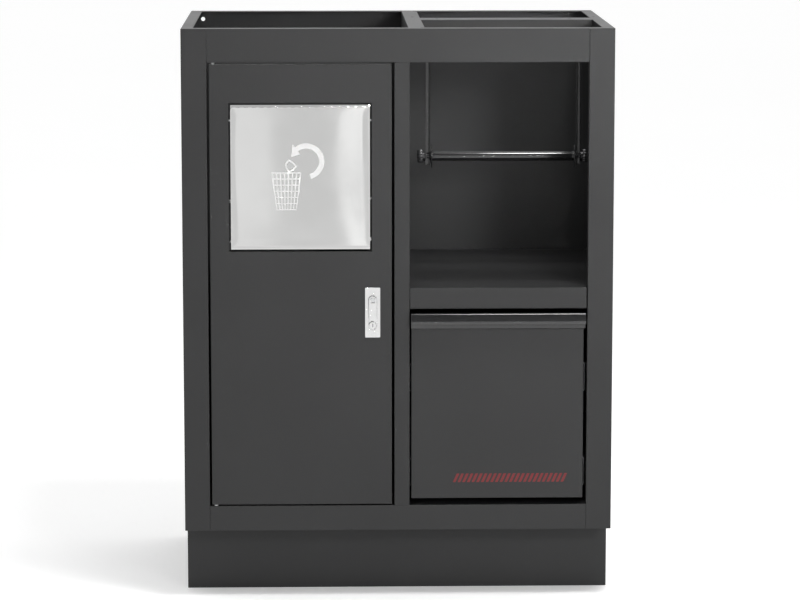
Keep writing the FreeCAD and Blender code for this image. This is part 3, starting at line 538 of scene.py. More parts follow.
def islands(node):
    """The boxes of a CAD node's separate solids, as pairs of lowest and highest corners."""
    mesh = merged(node)
    left = set(mesh.verts)
    boxes = []
    while left:
        found = {left.pop()}
        waiting = list(found)
        while waiting:
            vert = waiting.pop()
            for edge in vert.link_edges:
                other = edge.other_vert(vert)
                if other not in found:
                    found.add(other)
                    waiting.append(other)
        left -= found
        low = Vector(min(vert.co[axis] for vert in found) for axis in range(3))
        high = Vector(max(vert.co[axis] for vert in found) for axis in range(3))
        boxes.append((low, high))
    mesh.free()
    return sorted(boxes, key=lambda box: tuple(round(part, 4) for part in box[0]))


def skin(mesh, rings):
    """Joins rings of vertices in order with faces, and closes both ends."""
    count = len(rings[0])
    for ring, following in zip(rings, rings[1:]):
        for step in range(count):
            after = (step + 1) % count
            mesh.faces.new((ring[step], ring[after], following[after], following[step]))
    mesh.faces.new(list(reversed(rings[0])))
    mesh.faces.new(rings[-1])


def lathe(mesh, outline, axis_point, axis, segments=48, flute=None):
    """Adds a turned solid: outline is pairs of place along the axis and radius, closed at both ends."""
    turn = Vector(axis).normalized()
    side = turn.orthogonal().normalized()
    up = turn.cross(side)
    rings = []
    for along, radius in outline:
        ring = []
        for step in range(segments):
            angle = 2 * math.pi * step / segments
            size = flute(angle, along, radius) if flute else radius
            place = axis_point + turn * along + (side * math.cos(angle) + up * math.sin(angle)) * size
            ring.append(mesh.verts.new(place))
        rings.append(ring)
    skin(mesh, rings)


def rounded_outline(start, end, radius, corner, steps=4):
    """Outline of a turned bar with rounded ends, as pairs of place and radius."""
    outline = []
    for step in range(steps + 1):
        angle = math.pi / 2 * step / steps
        outline.append((start + corner * (1 - math.sin(angle)), radius - corner * (1 - math.cos(angle))))
    outline.reverse()
    mirrored = [(end - (along - start), size) for along, size in reversed(outline)]
    return outline + mirrored


def smoothed(piece, degrees=35):
    """Shades a piece smooth, except across its sharper edges."""
    piece.data.shade_smooth()
    piece.data.set_sharp_from_angle(angle=math.radians(degrees))
    return piece


def slab(mesh, points, y, thickness):
    """Adds a thin upright plate: points are pairs of X and Z in order, y is its back plane."""
    back = [mesh.verts.new((x, y, z)) for x, z in points]
    front = [mesh.verts.new((x, y - thickness, z)) for x, z in points]
    skin(mesh, [back, front])
    bmesh.ops.recalc_face_normals(mesh, faces=mesh.faces)


# ---------------------------------------------------------------- geometry nodes

def grown(name, build, inputs, finish, body, *nodes):
    """The finished piece that a Geometry Nodes tree makes from its named inputs."""
    tree = bpy.data.node_groups.new(name + "_tree", "GeometryNodeTree")
    tree.interface.new_socket("Geometry", in_out="INPUT", socket_type="NodeSocketGeometry")
    tree.interface.new_socket("Geometry", in_out="OUTPUT", socket_type="NodeSocketGeometry")
    sockets = {}
    for label, (kind, _) in inputs.items():
        sockets[label] = tree.interface.new_socket(label, in_out="INPUT", socket_type=kind)
    graph = Graph(tree)
    given = graph.node("NodeGroupInput")
    shape = build(graph, given.outputs)
    real = graph.node("GeometryNodeRealizeInstances", None, {0: shape})
    coated = graph.node("GeometryNodeSetMaterial", None,
                        {"Geometry": real.outputs[0], "Material": material(finish)})
    graph.node("NodeGroupOutput", None, {0: coated.outputs[0]})
    piece = piece_from(bpy.data.meshes.new(name), name)
    modifier = piece.modifiers.new(name, "NODES")
    modifier.node_group = tree
    for label, (_, value) in inputs.items():
        modifier[sockets[label].identifier] = value
    return finished(plain(piece), finish, body, *nodes)


def coordinates(graph):
    """The X, Y and Z of each point, as values."""
    where = graph.node("GeometryNodeInputPosition")
    parts = graph.node("ShaderNodeSeparateXYZ", None, {0: where.outputs[0]})
    return [Value(graph, part) for part in parts.outputs]


def reshaped(graph, shape, x, y, z):
    """A shape with each of its points at new coordinates."""
    place = graph.node("ShaderNodeCombineXYZ", None, {0: x, 1: y, 2: z})
    return graph.node("GeometryNodeSetPosition", None, {
        "Geometry": shape, "Position": place.outputs[0]}).outputs[0]


def instances(graph, points, part):
    """One copy of a part at each point."""
    return graph.node("GeometryNodeInstanceOnPoints", None, {
        "Points": points, "Instance": part}).outputs[0]


def at_centre(graph, shape, given):
    """A shape that was built round the origin, taken to the tree's centre."""
    return graph.node("GeometryNodeTransform", None, {
        "Geometry": shape, "Translation": given["Centre"]}).outputs[0]


def copies_tree(graph, given):
    """Copies of one part, one at each point of another object's mesh."""
    part = graph.node("GeometryNodeObjectInfo", {"transform_space": "ORIGINAL"},
                      {"Object": given["Part"]})
    places = graph.node("GeometryNodeObjectInfo", {"transform_space": "ORIGINAL"},
                        {"Object": given["Places"]})
    points = graph.node("GeometryNodeMeshToPoints", None, {"Mesh": places.outputs["Geometry"]})
    size = graph.node("ShaderNodeCombineXYZ", None,
                      {axis: given["Size"] for axis in range(3)})
    copies = graph.node("GeometryNodeInstanceOnPoints", None, {
        "Points": points.outputs[0], "Instance": part.outputs["Geometry"], "Scale": size.outputs[0]})
    return copies.outputs[0]


def repeated(name, part, places, finish, body, *nodes):
    """One finished piece with a copy of a part at each place; the part is made round the origin."""
    spots = bmesh.new()
    for place in places:
        spots.verts.new(place)
    spots = piece_from(spots, name + "_places")
    inputs = {
        "Part": ("NodeSocketObject", part),
        "Places": ("NodeSocketObject", spots),
        "Size": ("NodeSocketFloat", 1.0),
    }
    piece = grown(name, copies_tree, inputs, finish, body, *nodes)
    for helper in (part, spots):
        bpy.data.objects.remove(helper)
    return piece


def screw_head(direction, radius=HEAD_RADIUS, height=HEAD_HEIGHT):
    """A button head with a six-sided recess, standing from the origin along a direction."""
    mesh = bmesh.new()
    steps = 5
    half_side = math.pi / 6
    outline = [(0.0, radius)]
    for step in range(1, steps + 1):
        angle = math.pi / 2 * step / steps
        outline.append((height * math.sin(angle), radius * (0.45 + 0.55 * math.cos(angle))))
    recess = radius * 0.42
    outline.append((height, recess))
    outline.append((height * 0.35, recess * 0.94))

    def shaped(angle, along, size):
        if size > recess * 1.001:
            return size
        return size * math.cos(half_side) / math.cos((angle % (2 * half_side)) - half_side)

    lathe(mesh, outline, Vector((0, 0, 0)), direction, 24, shaped)
    bmesh.ops.recalc_face_normals(mesh, faces=mesh.faces)
    return smoothed(piece_from(mesh, "screw_head_part"), 30)


# ---------------------------------------------------------------- operators

class CABINET_OT_carcass(bpy.types.Operator):
    """Body of the cabinet: side walls, back, floor, rails, partition and shelf"""

    bl_idname = "cabinet.carcass"
    bl_label = "Carcass"
    bl_options = {"REGISTER", "UNDO"}
    nodes = ("side_panel_left", "side_panel_right", "back_panel", "base_panel", "top_front_rail",
             "bottom_front_rail", "partition_panel", "shelf_tray")

    def execute(self, context):
        for node in self.nodes:
            folded_sheet(node)
        return {"FINISHED"}


class CABINET_OT_plinth(bpy.types.Operator):
    """Set-back plinth with its bolts"""

    bl_idname = "cabinet.plinth"
    bl_label = "Plinth"
    bl_options = {"REGISTER", "UNDO"}
    nodes = ("plinth_front", "plinth_rear", "plinth_left", "plinth_right")

    def execute(self, context):
        for node in self.nodes:
            folded_sheet(node)
        solid_part("plinth_bolts", "zinc_plate")
        return {"FINISHED"}


class CABINET_OT_door(bpy.types.Operator):
    """Door pan with its stiffener, buffers, bushes and pivot pins"""

    bl_idname = "cabinet.door"
    bl_label = "Door"
    bl_options = {"REGISTER", "UNDO"}
    buffer_edge = 0.0008

    def execute(self, context):
        folded_sheet("door_panel")
        folded_sheet("door_stiffener")
        solid_part("door_buffers", "rubber", self.buffer_edge)
        solid_part("door_pivot_bushes", "bush_plastic")
        solid_part("flap_pivot_bushes", "bush_plastic")
        solid_part("door_pivot_pins", "zinc_plate")
        return {"FINISHED"}


class CABINET_OT_flap(bpy.types.Operator):
    """Polished swing flap with its pins"""

    bl_idname = "cabinet.flap"
    bl_label = "Swing flap"
    bl_options = {"REGISTER", "UNDO"}
    fold = 0.0009                   # tighter than the painted sheet's
    pin_edge = 0.0003
    cell = 0.006                    # the face is waved in cells of this size
    face_depth = 0.0022             # only what is this close to the front is waved
    margin = 0.012                  # the wave fades out towards the edges

    def execute(self, context):
        piece = rounded_sheet("flap_plate", self.fold)
        self.wave(piece)
        finished(piece, "polished_steel", "flap", "flap_plate")
        solid_part("flap_pins", "zinc_plate", self.pin_edge)
        return {"FINISHED"}

    def wave(self, piece):
        """Cuts the flap's face into cells and waves it slightly, as rolled and polished sheet is."""
        low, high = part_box("flap_plate")
        mesh = bmesh.new()
        mesh.from_mesh(piece.data)
        for axis, normal in ((0, (1, 0, 0)), (2, (0, 0, 1))):
            count = int((high[axis] - low[axis]) / self.cell)
            for step in range(1, count):
                place = Vector(low)
                place[axis] = low[axis] + (high[axis] - low[axis]) * step / count
                parts = mesh.verts[:] + mesh.edges[:] + mesh.faces[:]
                bmesh.ops.bisect_plane(mesh, geom=parts, plane_co=place, plane_no=normal)
        depth = sizes().wave
        for vert in mesh.verts:
            if vert.co.y > low[1] + self.face_depth:
                continue
            x, z = vert.co.x - low[0], vert.co.z - low[2]
            near = min(x, z, high[0] - vert.co.x, high[2] - vert.co.z)
            fade = min(max(near / self.margin, 0.0), 1.0)
            swell = math.sin(x * 26 + 1.9 * math.sin(z * 11)) + 0.7 * math.sin(z * 21 + x * 9 + 1.3)
            vert.co.y += depth * 0.5 * (1 + 0.55 * swell) * fade * fade * (3 - 2 * fade)
        data = bpy.data.meshes.new(piece.name)
        mesh.to_mesh(data)
        mesh.free()
        piece.data = data
        smoothed(piece, 40)


class CABINET_OT_symbol(bpy.types.Operator):
    """Etched symbol on the flap: a wire bin, a crumpled sheet and a falling arrow"""

    bl_idname = "cabinet.symbol"
    bl_label = "Etched symbol"
    bl_options = {"REGISTER", "UNDO"}
    sunk = 0.00002                  # of the symbol's back behind the flap's face
    proud = 0.00008                 # of its front before its back
    bin_place = (0.0915, 0.0925)    # of the bin's middle from the flap's lower left corner
    sheet_place = (0.006, 0, 0.0395)
    arrow_place = (0.031, 0, 0.047)
    height = 0.058                  # of the bin
    half_top = 0.0225
    half_floor = 0.0155
    wire_width = 0.085              # of an upright wire, as a share of the bin's half width
    level_length = 2.08             # of a level wire, as a share of the same
    level_height = 0.0016
    level_depth = 0.8               # of a level wire, as a share of proud, so that no faces coincide

    def execute(self, context):
        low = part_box("flap_plate")[0]
        self.face = low[1] + self.sunk
        self.bin = Vector((low[0] + self.bin_place[0], 0, low[2] + self.bin_place[1]))
        mesh = bmesh.new()
        self.crumpled_sheet(mesh, self.bin + Vector(self.sheet_place))
        self.arrow(mesh, self.bin + Vector(self.arrow_place))
        finished(piece_from(mesh, "flap_symbol"), "etched_steel", "flap")
        self.wires("upright", 8, True)
        self.wires("level", 7, False)
        return {"FINISHED"}

    def crumpled_sheet(self, mesh, centre):
        """A crumpled sheet: an uneven ring of seven sides."""
        radii = (0.0110, 0.0085, 0.0112, 0.0092, 0.0080, 0.0104, 0.0088)
        inner, size = 0.7, 0.995
        count = len(radii)
        places = []
        for step, radius in enumerate(radii):
            angle = 2 * math.pi * step / count
            places.append((math.cos(angle) * radius, math.sin(angle) * radius))
        for step in range(count):
            (x, z), (next_x, next_z) = places[step], places[(step + 1) % count]
            points = ((x * inner, z * inner), (x, z), (next_x, next_z), (next_x * inner, next_z * inner))
            points = [(centre.x + x * size, centre.z + z * size) for x, z in points]
            slab(mesh, points, self.face, self.proud)

    def arrow(self, mesh, hub):
        """One curved band that rises from the right and ends in a head over the bin."""
        outer, inner, steps = 0.0285, 0.0205, 28
        barb, tip = 0.006, 0.62
        first, last = math.radians(-75), math.radians(128)
        angles = [first + (last - first) * step / steps for step in range(steps + 1)]
        rim = [(outer, angle) for angle in angles]
        head = [(outer + barb, last), ((outer + inner) / 2, last + tip), (inner - barb, last)]
        core = [(inner, angle) for angle in reversed(angles)]
        points = [(hub.x + radius * math.cos(angle), hub.z + radius * math.sin(angle))
                  for radius, angle in rim + head + core]
        slab(mesh, points, self.face, self.proud)

    def wires(self, name, count, upright):
        """The bin's upright or level wires, drawn in towards its floor."""
        def build(graph, given):
            line = graph.node("GeometryNodeMeshLine", {"mode": "END_POINTS"}, {
                "Count": given["Wires"], "Start Location": given["First"], "Offset": given["Last"]})
            wire = graph.node("GeometryNodeMeshCube", None, {
                "Size": given["Wire size"], "Vertices Z": 2})
            copies = instances(graph, line.outputs[0], wire.outputs[0])
            real = graph.node("GeometryNodeRealizeInstances", None, {0: copies})
            x, y, z = coordinates(graph)
            half_width = Value(graph, given["Half width"]) + z * Value(graph, given["Taper"])
            tapered = reshaped(graph, real.outputs[0], x * half_width, y, z)
            return at_centre(graph, tapered, given)

        half = (self.half_top + self.half_floor) / 2
        rise = self.height / 2
        first, last = ((-1, 0, 0), (1, 0, 0)) if upright else ((0, 0, -rise), (0, 0, rise))
        thin = self.proud * (1.0 if upright else self.level_depth)
        size = (self.wire_width, thin, self.height)
        if not upright:
            size = (self.level_length, thin, self.level_height)
        inputs = {
            "Wires": ("NodeSocketInt", count),
            "First": ("NodeSocketVector", first),
            "Last": ("NodeSocketVector", last),
            "Wire size": ("NodeSocketVector", size),
            "Half width": ("NodeSocketFloat", half),
            "Taper": ("NodeSocketFloat", (self.half_top - self.half_floor) / self.height),
            "Centre": ("NodeSocketVector", self.bin + Vector((0, self.face - thin / 2, 0))),
        }
        grown("flap_symbol_" + name, build, inputs, "etched_steel", "flap")


class CABINET_OT_lock(bpy.types.Operator):
    """Flush lock: plate, button, tip-out lever, spindle, cam and clamp"""

    bl_idname = "cabinet.lock"
    bl_label = "Flush lock"
    bl_options = {"REGISTER", "UNDO"}
    edges = {
        "satin_chrome": {"lock_housing": 0.0005, "handle_lever": 0.0008, "lock_button": 0.0005},
        "zinc_plate": {"lever_pin": 0.0002, "lock_spindle": 0.0003, "lock_cam": 0.0005,
                       "cam_nut": 0.0003, "lock_clamp": 0.0004},
    }

    def execute(self, context):
        for finish, parts in self.edges.items():
            for node, radius in parts.items():
                solid_part(node, finish, radius)
        return {"FINISHED"}


class CABINET_OT_roll_holder(bpy.types.Operator):
    """Paper roll holder: cross bar, hangers, rod, guide discs and fluted knobs"""

    bl_idname = "cabinet.roll_holder"
    bl_label = "Roll holder"
    bl_options = {"REGISTER", "UNDO"}
    flutes = 12
    flute_depth = 0.0012
    collar = 0.003                  # length of a knob's plain end
    pin_radius = 0.004              # of the rod's thin ends
    shoulder = 0.0014               # of the rod beyond the outer discs

    def execute(self, context):
        folded_sheet("roll_cross_bar")
        folded_sheet("roll_hanger_left", "gloss_black")
        folded_sheet("roll_hanger_right", "gloss_black")
        low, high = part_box("roll_rod")
        self.axis = Vector((0, (low[1] + high[1]) / 2, (low[2] + high[2]) / 2))
        self.rod(low, high)
        self.discs()
        self.knobs()
        self.screws()
        return {"FINISHED"}

    def rod(self, low, high):
        """Turned rod with a thinner pin at each end."""
        radius = (high[2] - low[2]) / 2
        discs = islands("roll_discs")
        left, right = discs[0][0].x - self.shoulder, discs[-1][1].x + self.shoulder
        mesh = bmesh.new()
        lathe(mesh, rounded_outline(low[0], high[0], self.pin_radius, 0.0006), self.axis, (1, 0, 0))
        lathe(mesh, rounded_outline(left, right, radius, 0.0010), self.axis, (1, 0, 0))
        piece = smoothed(piece_from(mesh, "roll_rod_bar"))
        finished(piece, "gloss_black", "roll", "roll_rod")

    def discs(self):
        """Guide discs with a rolled edge and a raised hub."""
        mesh = bmesh.new()
        for low, high in islands("roll_discs"):
            radius = (high.z - low.z) / 2
            edge = (high.x - low.x) * 0.5
            lathe(mesh, rounded_outline(low.x, high.x, radius, edge * 0.98), self.axis, (1, 0, 0), 64)
        piece = smoothed(piece_from(mesh, "roll_discs_turned"))
        finished(piece, "gloss_black", "roll", "roll_discs")

    def knobs(self):
        """Fluted knobs with a plain collar on the hanger's side."""
        mesh = bmesh.new()
        middle = (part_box("roll_rod")[0][0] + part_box("roll_rod")[1][0]) / 2
        for low, high in islands("roll_knobs"):
            radius = (high.z - low.z) / 2
            outward = 1 if low.x > middle else -1
            inner = low.x if outward > 0 else high.x
            length = high.x - low.x
            profile = ((0.0, 0.72), (0.0006, 0.80), (self.collar, 0.80), (self.collar + 0.0004, 0.955),
                       (self.collar + 0.0014, 1.0), (length - 0.0022, 1.0), (length - 0.0008, 0.95),
                       (length, 0.82), (length, 0.5), (length - 0.0008, 0.42))

            def fluted(angle, along, size):
                grip = size > radius * 0.9
                wave = max(0.0, math.cos(angle * self.flutes)) ** 2
                return size - (self.flute_depth * wave if grip else 0.0)

            outline = [(along, radius * part) for along, part in profile]
            start = self.axis + Vector((inner, 0, 0))
            lathe(mesh, outline, start, (outward, 0, 0), 96, fluted)
        bmesh.ops.recalc_face_normals(mesh, faces=mesh.faces)
        piece = smoothed(piece_from(mesh, "roll_knobs_moulded"), 50)
        finished(piece, "gloss_plastic", "roll", "roll_knobs")

    def screws(self):
        """Button-head screws under the hangers' feet."""
        places = []
        for low, high in islands("hanger_screws"):
            places.append(Vector(((low.x + high.x) / 2, (low.y + high.y) / 2, low.z + HEAD_HEIGHT)))
        repeated("hanger_screws_set", screw_head((0, 0, -1)), places, "zinc_plate",
                 body_of("hanger_screws"), "hanger_screws")


class CABINET_OT_drawer(bpy.types.Operator):
    """Drawer: front, grip, box and its screws"""

    bl_idname = "cabinet.drawer"
    bl_label = "Drawer"
    bl_options = {"REGISTER", "UNDO"}
    grip_edge = 0.0006

    def execute(self, context):
        folded_sheet("drawer_front")
        folded_sheet("drawer_box")
        folded_sheet("handle_bracket")
        solid_part("drawer_handle", "gloss_black", self.grip_edge)
        places = []
        for low, high in islands("drawer_screws"):
            places.append(Vector(((low.x + high.x) / 2, low.y, (low.z + high.z) / 2)))
        repeated("drawer_screws_set", screw_head((0, 1, 0)), places, "zinc_plate", "drawer",
                 "drawer_screws")
        return {"FINISHED"}


class CABINET_OT_dashes(bpy.types.Operator):
    """Printed line of slanted dashes on the drawer's front"""

    bl_idname = "cabinet.dashes"
    bl_label = "Printed dashes"
    bl_options = {"REGISTER", "UNDO"}
    film = 0.00008                  # thickness of the ink
    width = 0.172                   # from the first dash's middle to the last's
    inset = 0.030                   # of the last dash from the drawer front's right edge
    rise = 0.033                    # of the dashes' middle above its lower edge
    dash = (0.0042, 0.014)
    slant = 0.45                    # sideways per unit of height

    def execute(self, context):
        low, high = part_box("drawer_front")
        right = high[0] - self.inset
        up = low[2] + self.rise
        face = low[1] - self.film / 2

        def build(graph, given):
            line = graph.node("GeometryNodeMeshLine", {"mode": "END_POINTS"}, {
                "Count": given["Dashes"], "Start Location": given["Left end"],
                "Offset": given["Right end"]})
            dash = graph.node("GeometryNodeMeshCube", None, {"Size": given["Dash size"]})
            x, y, z = coordinates(graph)
            slanted = reshaped(graph, dash.outputs[0], x + z * Value(graph, given["Slant"]), y, z)
            return instances(graph, line.outputs[0], slanted)

        inputs = {
            "Dashes": ("NodeSocketInt", sizes().dashes),
            "Left end": ("NodeSocketVector", (right - self.width, face, up)),
            "Right end": ("NodeSocketVector", (right, face, up)),
            "Dash size": ("NodeSocketVector", (self.dash[0], self.film, self.dash[1])),
            "Slant": ("NodeSocketFloat", self.slant),
        }
        grown("drawer_dashes", build, inputs, "printed_line", "drawer")
        return {"FINISHED"}


class CABINET_OT_slides(bpy.types.Operator):
    """Ball slides with their spacers, balls and screws"""

    bl_idname = "cabinet.slides"
    bl_label = "Ball slides"
    bl_options = {"REGISTER", "UNDO"}
    wall = 0.0012                   # thickness of the slides' steel
    ball_radius = 0.0013
    race = (0.08, 0.92)             # where a race starts and ends, as shares of the member's length
    screw_radius = 0.0036

    def execute(self, context):
        for part in ("outer", "middle", "inner"):
            folded_sheet(f"slide_{part}_members", "zinc_plate")
        folded_sheet("slide_spacers")
        self.balls()
        self.screws()
        return {"FINISHED"}

    def balls(self):
        """Balls in the races above and below each middle member."""
        count = sizes().balls
        start, end = self.race
        outer = islands("slide_outer_members")
        middle = islands("slide_middle_members")
        places = []
        for (outer_low, outer_high), (low, high) in zip(outer, middle):
            x = (low.x + high.x) / 2
            for z in ((outer_high.z - self.wall + high.z) / 2, (outer_low.z + self.wall + low.z) / 2):
                for step in range(count):
                    y = low.y + (high.y - low.y) * (start + (end - start) * step / (count - 1))
                    places.append(Vector((x, y, z)))
        mesh = bmesh.new()
        bmesh.ops.create_icosphere(mesh, subdivisions=2, radius=self.ball_radius)
        ball = smoothed(piece_from(mesh, "ball_part"), 180)
        repeated("slide_balls", ball, places, "zinc_plate", "slide_middles")

    def screws(self):
        """Low screw heads along the inner members, which hold them to the drawer."""
        count = sizes().slide_holes
        left, right = [], []
        middle = sum(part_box("drawer_box")[side][0] for side in (0, 1)) / 2
        for low, high in islands("slide_inner_members"):
            on_left = high.x < middle
            x = high.x - self.wall if on_left else low.x + self.wall
            for step in range(count):
                y = low.y + (high.y - low.y) * (step + 0.5) / count
                (left if on_left else right).append(Vector((x, y, (low.z + high.z) / 2)))
        for side, places, direction in (("left", left, -1), ("right", right, 1)):
            head = screw_head((direction, 0, 0), self.screw_radius, self.wall)
            repeated("slide_screws_" + side, head, places, "zinc_plate", "drawer")


class CABINET_OT_bin(bpy.types.Operator):
    """Waste bin: a tapered tub with a rolled rim and upright ribs"""

    bl_idname = "cabinet.bin"
    bl_label = "Waste bin"
    bl_options = {"REGISTER", "UNDO"}
    corner = 0.035                  # radius of the rim's corners
    least_corner = 0.008
    corner_steps = 8
    rib = 0.003                     # width and depth of a rib
    rib_inset = 0.0155
    rib_corner = 0.022              # radius of the corners of the line that the ribs follow
    rib_height = 0.72               # share of the bin's height
    rib_middle = 0.55               # the same
    taper = 0.0131                  # how much narrower each side is at the floor

    # pairs of inset and height: outside above the floor, round the rim, then inside
    foot = ((0.0226, 0.0), (0.0206, 0.0006), (0.0202, 0.0030))
    rim = ((0.0075, -0.0075), (0.0004, -0.0068), (0.0, -0.0050), (0.0002, -0.0020),
           (0.0016, -0.0002), (0.0060, 0.0), (0.0098, -0.0012), (0.0105, -0.0040))
    inside = ((0.0235, 0.0060), (0.0270, 0.0032))

    def execute(self, context):
        self.low, self.high = (Vector(corner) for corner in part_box("waste_bin"))
        mesh = bmesh.new()
        rings = []
        for outline, level in ((self.foot, self.low.z), (self.rim, self.high.z),
                               (self.inside, self.low.z)):
            for inset, height in outline:
                rings.append(self.ring(mesh, inset, level + height))
        skin(mesh, rings)
        bmesh.ops.recalc_face_normals(mesh, faces=mesh.faces)
        piece = smoothed(piece_from(mesh, "waste_bin_tub"), 40)
        finished(piece, "moulded_plastic", "root", "waste_bin")
        self.ribs()
        return {"FINISHED"}

    def ring(self, mesh, inset, z):
        """Vertices of a rectangle with round corners, set in from the bin's box."""
        corner = max(self.corner - inset, self.least_corner)
        low = self.low + Vector((inset + corner, inset + corner, 0))
        high = self.high - Vector((inset + corner, inset + corner, 0))
        centres = ((high.x, high.y, 0), (low.x, high.y, 90), (low.x, low.y, 180), (high.x, low.y, 270))
        ring = []
        for x, y, start in centres:
            for step in range(self.corner_steps + 1):
                angle = math.radians(start + 90 * step / self.corner_steps)
                ring.append(mesh.verts.new(
                    (x + corner * math.cos(angle), y + corner * math.sin(angle), z)))
        return ring

    def ribs(self):
        """Upright ribs round the tub, leaning with its taper."""
        width, length, height = self.high - self.low
        width -= 2 * self.rib_inset
        length -= 2 * self.rib_inset

        def build(graph, given):
            line = graph.node("GeometryNodeCurvePrimitiveQuadrilateral", None, {
                "Width": given["Width"], "Height": given["Length"]})
            round_line = graph.node("GeometryNodeFilletCurve", {"mode": "POLY"}, {
                "Curve": line.outputs[0], "Radius": given["Corner"],
                "Count": self.corner_steps, "Limit Radius": True})
            points = graph.node("GeometryNodeCurveToPoints", {"mode": "LENGTH"}, {
                "Curve": round_line.outputs[0], "Length": given["Spacing"]})
            rib = graph.node("GeometryNodeMeshCube", None, {
                "Size": given["Rib size"], "Vertices Z": 2})
            copies = instances(graph, points.outputs["Points"], rib.outputs[0])
            real = graph.node("GeometryNodeRealizeInstances", None, {0: copies})
            x, y, z = coordinates(graph)
            leaning = reshaped(graph, real.outputs[0],
                               x * (1 + z * Value(graph, given["Lean across"])),
                               y * (1 + z * Value(graph, given["Lean along"])), z)
            return at_centre(graph, leaning, given)

        inputs = {
            "Width": ("NodeSocketFloat", width),
            "Length": ("NodeSocketFloat", length),
            "Corner": ("NodeSocketFloat", self.rib_corner),
            "Spacing": ("NodeSocketFloat", sizes().rib_gap),
            "Rib size": ("NodeSocketVector", (self.rib, self.rib, height * self.rib_height)),
            "Lean across": ("NodeSocketFloat", self.taper / height / (width / 2)),
            "Lean along": ("NodeSocketFloat", self.taper / height / (length / 2)),
            "Centre": ("NodeSocketVector", (
                (self.low.x + self.high.x) / 2, (self.low.y + self.high.y) / 2,
                self.low.z + height * self.rib_middle)),
        }
        grown("waste_bin_ribs", build, inputs, "moulded_plastic", "root")


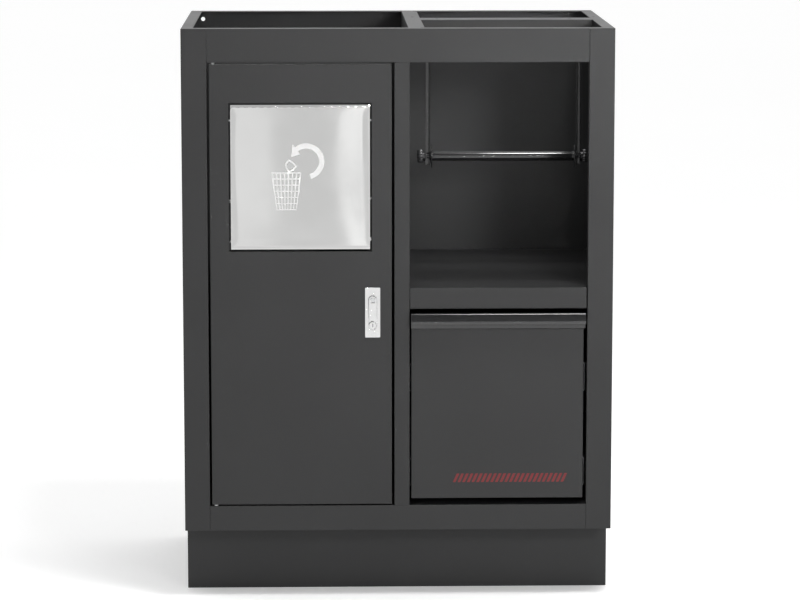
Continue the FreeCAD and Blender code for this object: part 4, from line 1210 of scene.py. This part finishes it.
class CABINET_OT_stage(bpy.types.Operator):
    """Floor, lights, surroundings and camera"""

    bl_idname = "cabinet.stage"
    bl_label = "Studio"
    bl_options = {"REGISTER", "UNDO"}
    grip_depth = 0.016              # how far the drawer's grip stands before the cabinet's front
    eye = (-0.127, -5.127, 1.253)   # Y is counted from the cabinet's front here and below
    aim = (0.0028, 0.0, 0.4812)
    lens = 147.6
    floor_radius = 30.0

    # name, place, target, width and height, power in watts, spread in degrees;
    # the three strips are there for the polished flap to mirror
    lights = (
        ("key_light", (1.15, -2.6, 1.35), (0.36, 0.0, 0.95), (0.5, 0.5), 4.0, 50),
        ("front_light", (0.17, -9.0, 1.66), (0.0, 0.0, 0.6), (0.18, 0.18), 0.2, 14),
        ("top_light", (0.48, -0.6, 2.6), (0.48, -0.6, 0.0), (0.6, 0.5), 34.0, 180),
        ("left_strip", (-0.375, -4.3, 0.3), (-0.375, 0.0, 0.6), (0.20, 0.7), 0.10, 180),
        ("thin_strip", (-0.295, -4.3, 0.3), (-0.295, 0.0, 0.6), (0.025, 0.7), 0.06, 180),
        ("right_strip", (0.0, -4.3, 0.3), (0.0, 0.0, 0.6), (0.07, 0.7), 0.08, 180),
    )

    # the surroundings: brightness by height on the camera's side, the change to the far side,
    # and the far side's brightness
    before = ((0.0, 0.75), (0.52, 0.75), (0.62, 0.12), (0.88, 0.12), (0.95, 1.5))
    to_behind = ((0.42, 0.0), (0.60, 1.0))
    behind = 1.15
    white = 1.05                    # what the camera itself sees

    def execute(self, context):
        self.front = CAD_BOX[0][1] + self.grip_depth
        self.floor()
        self.surroundings()
        self.camera()
        for row in self.lights:
            self.light(*row)
        view = bpy.context.scene.view_settings
        view.view_transform = "Standard"
        view.look = "None"
        return {"FINISHED"}

    def placed(self, name, data, place, target):
        """A scene object at a place, looking at a target; both count Y from the cabinet's front."""
        made = bpy.data.objects.new(name, data)
        made.location = (place[0], self.front + place[1], place[2])
        way = Vector((target[0], self.front + target[1], target[2])) - made.location
        made.rotation_euler = way.to_track_quat("-Z", "Y").to_euler()
        bpy.context.scene.collection.objects.link(made)
        return made

    def floor(self):
        """A wide round floor."""
        mesh = bmesh.new()
        bmesh.ops.create_circle(mesh, cap_ends=True, radius=self.floor_radius, segments=96)
        piece = piece_from(mesh, "studio_floor")
        piece.data.materials.append(material("studio_floor"))

    def surroundings(self):
        """White behind the cabinet and overhead, and a dimmer side in front of it."""
        world = bpy.data.worlds.new("studio")
        world.use_nodes = True
        bpy.context.scene.world = world
        graph = Graph(world.node_tree)
        world.node_tree.nodes.clear()
        look = graph.node("ShaderNodeTexCoord").outputs["Generated"]
        parts = graph.node("ShaderNodeSeparateXYZ", None, {0: look})
        before = graph.node("ShaderNodeValToRGB", {"stops": self.before}, {0: parts.outputs[2]})
        depth = Value(graph, parts.outputs[1]) * 0.5 + 0.5
        behind = graph.node("ShaderNodeValToRGB", {"stops": self.to_behind}, {0: depth})
        share = Value(graph, behind.outputs[0])
        brightness = share * self.behind + (1 - share) * Value(graph, before.outputs[0])
        around = graph.node("ShaderNodeBackground", None, {0: (1.0, 1.0, 1.0, 1.0), 1: brightness})
        white = graph.node("ShaderNodeBackground", None, {0: (1.0, 1.0, 1.0, 1.0), 1: self.white})
        path = graph.node("ShaderNodeLightPath")
        mixed = graph.node("ShaderNodeMixShader", None, {
            0: path.outputs["Is Camera Ray"], 1: around.outputs[0], 2: white.outputs[0]})
        graph.node("ShaderNodeOutputWorld", None, {0: mixed.outputs[0]})

    def light(self, name, place, target, size, power, spread):
        """A soft rectangular light aimed at a point."""
        data = bpy.data.lights.new(name, "AREA")
        data.shape = "RECTANGLE"
        data.size, data.size_y = size
        data.energy = power
        data.spread = math.radians(spread)
        self.placed(name, data, place, target).visible_camera = False

    def camera(self):
        """A long lens in front, a little left of the middle and above the top."""
        data = bpy.data.cameras.new("camera")
        data.lens = self.lens
        data.clip_end = 100.0
        bpy.context.scene.camera = self.placed("camera", data, self.eye, self.aim)


class CABINET_PT_panel(bpy.types.Panel):
    """Sidebar panel with the settings and the steps in order"""

    bl_idname = "CABINET_PT_panel"
    bl_label = "Workshop Cabinet"
    bl_space_type = "VIEW_3D"
    bl_region_type = "UI"
    bl_category = "Cabinet"

    def draw(self, context):
        for settings in (context.scene.cabinet_sizes, context.scene.cabinet_colours):
            for name in settings.bl_rna.properties.keys():
                if name not in ("rna_type", "name"):
                    self.layout.prop(settings, name)
        for step in STEPS:
            self.layout.operator(step.bl_idname)


STEPS = (
    CABINET_OT_stage, CABINET_OT_carcass, CABINET_OT_plinth, CABINET_OT_door, CABINET_OT_flap,
    CABINET_OT_symbol, CABINET_OT_lock, CABINET_OT_roll_holder, CABINET_OT_drawer,
    CABINET_OT_dashes, CABINET_OT_slides, CABINET_OT_bin,
)
CLASSES = (CabinetSizes, CabinetColours, *STEPS, CABINET_PT_panel)


def register():
    """Registers the classes and hangs the settings on the scene."""
    for each in CLASSES:
        bpy.utils.register_class(each)
    bpy.types.Scene.cabinet_sizes = bpy.props.PointerProperty(type=CabinetSizes)
    bpy.types.Scene.cabinet_colours = bpy.props.PointerProperty(type=CabinetColours)


def unregister():
    """Takes the settings and classes away again."""
    del bpy.types.Scene.cabinet_colours
    del bpy.types.Scene.cabinet_sizes
    for each in reversed(CLASSES):
        bpy.utils.unregister_class(each)


def main():
    """Runs every step in order."""
    register()
    for step in STEPS:
        group, name = step.bl_idname.split(".")
        getattr(getattr(bpy.ops, group), name)()


if __name__ == "__main__":
    main()
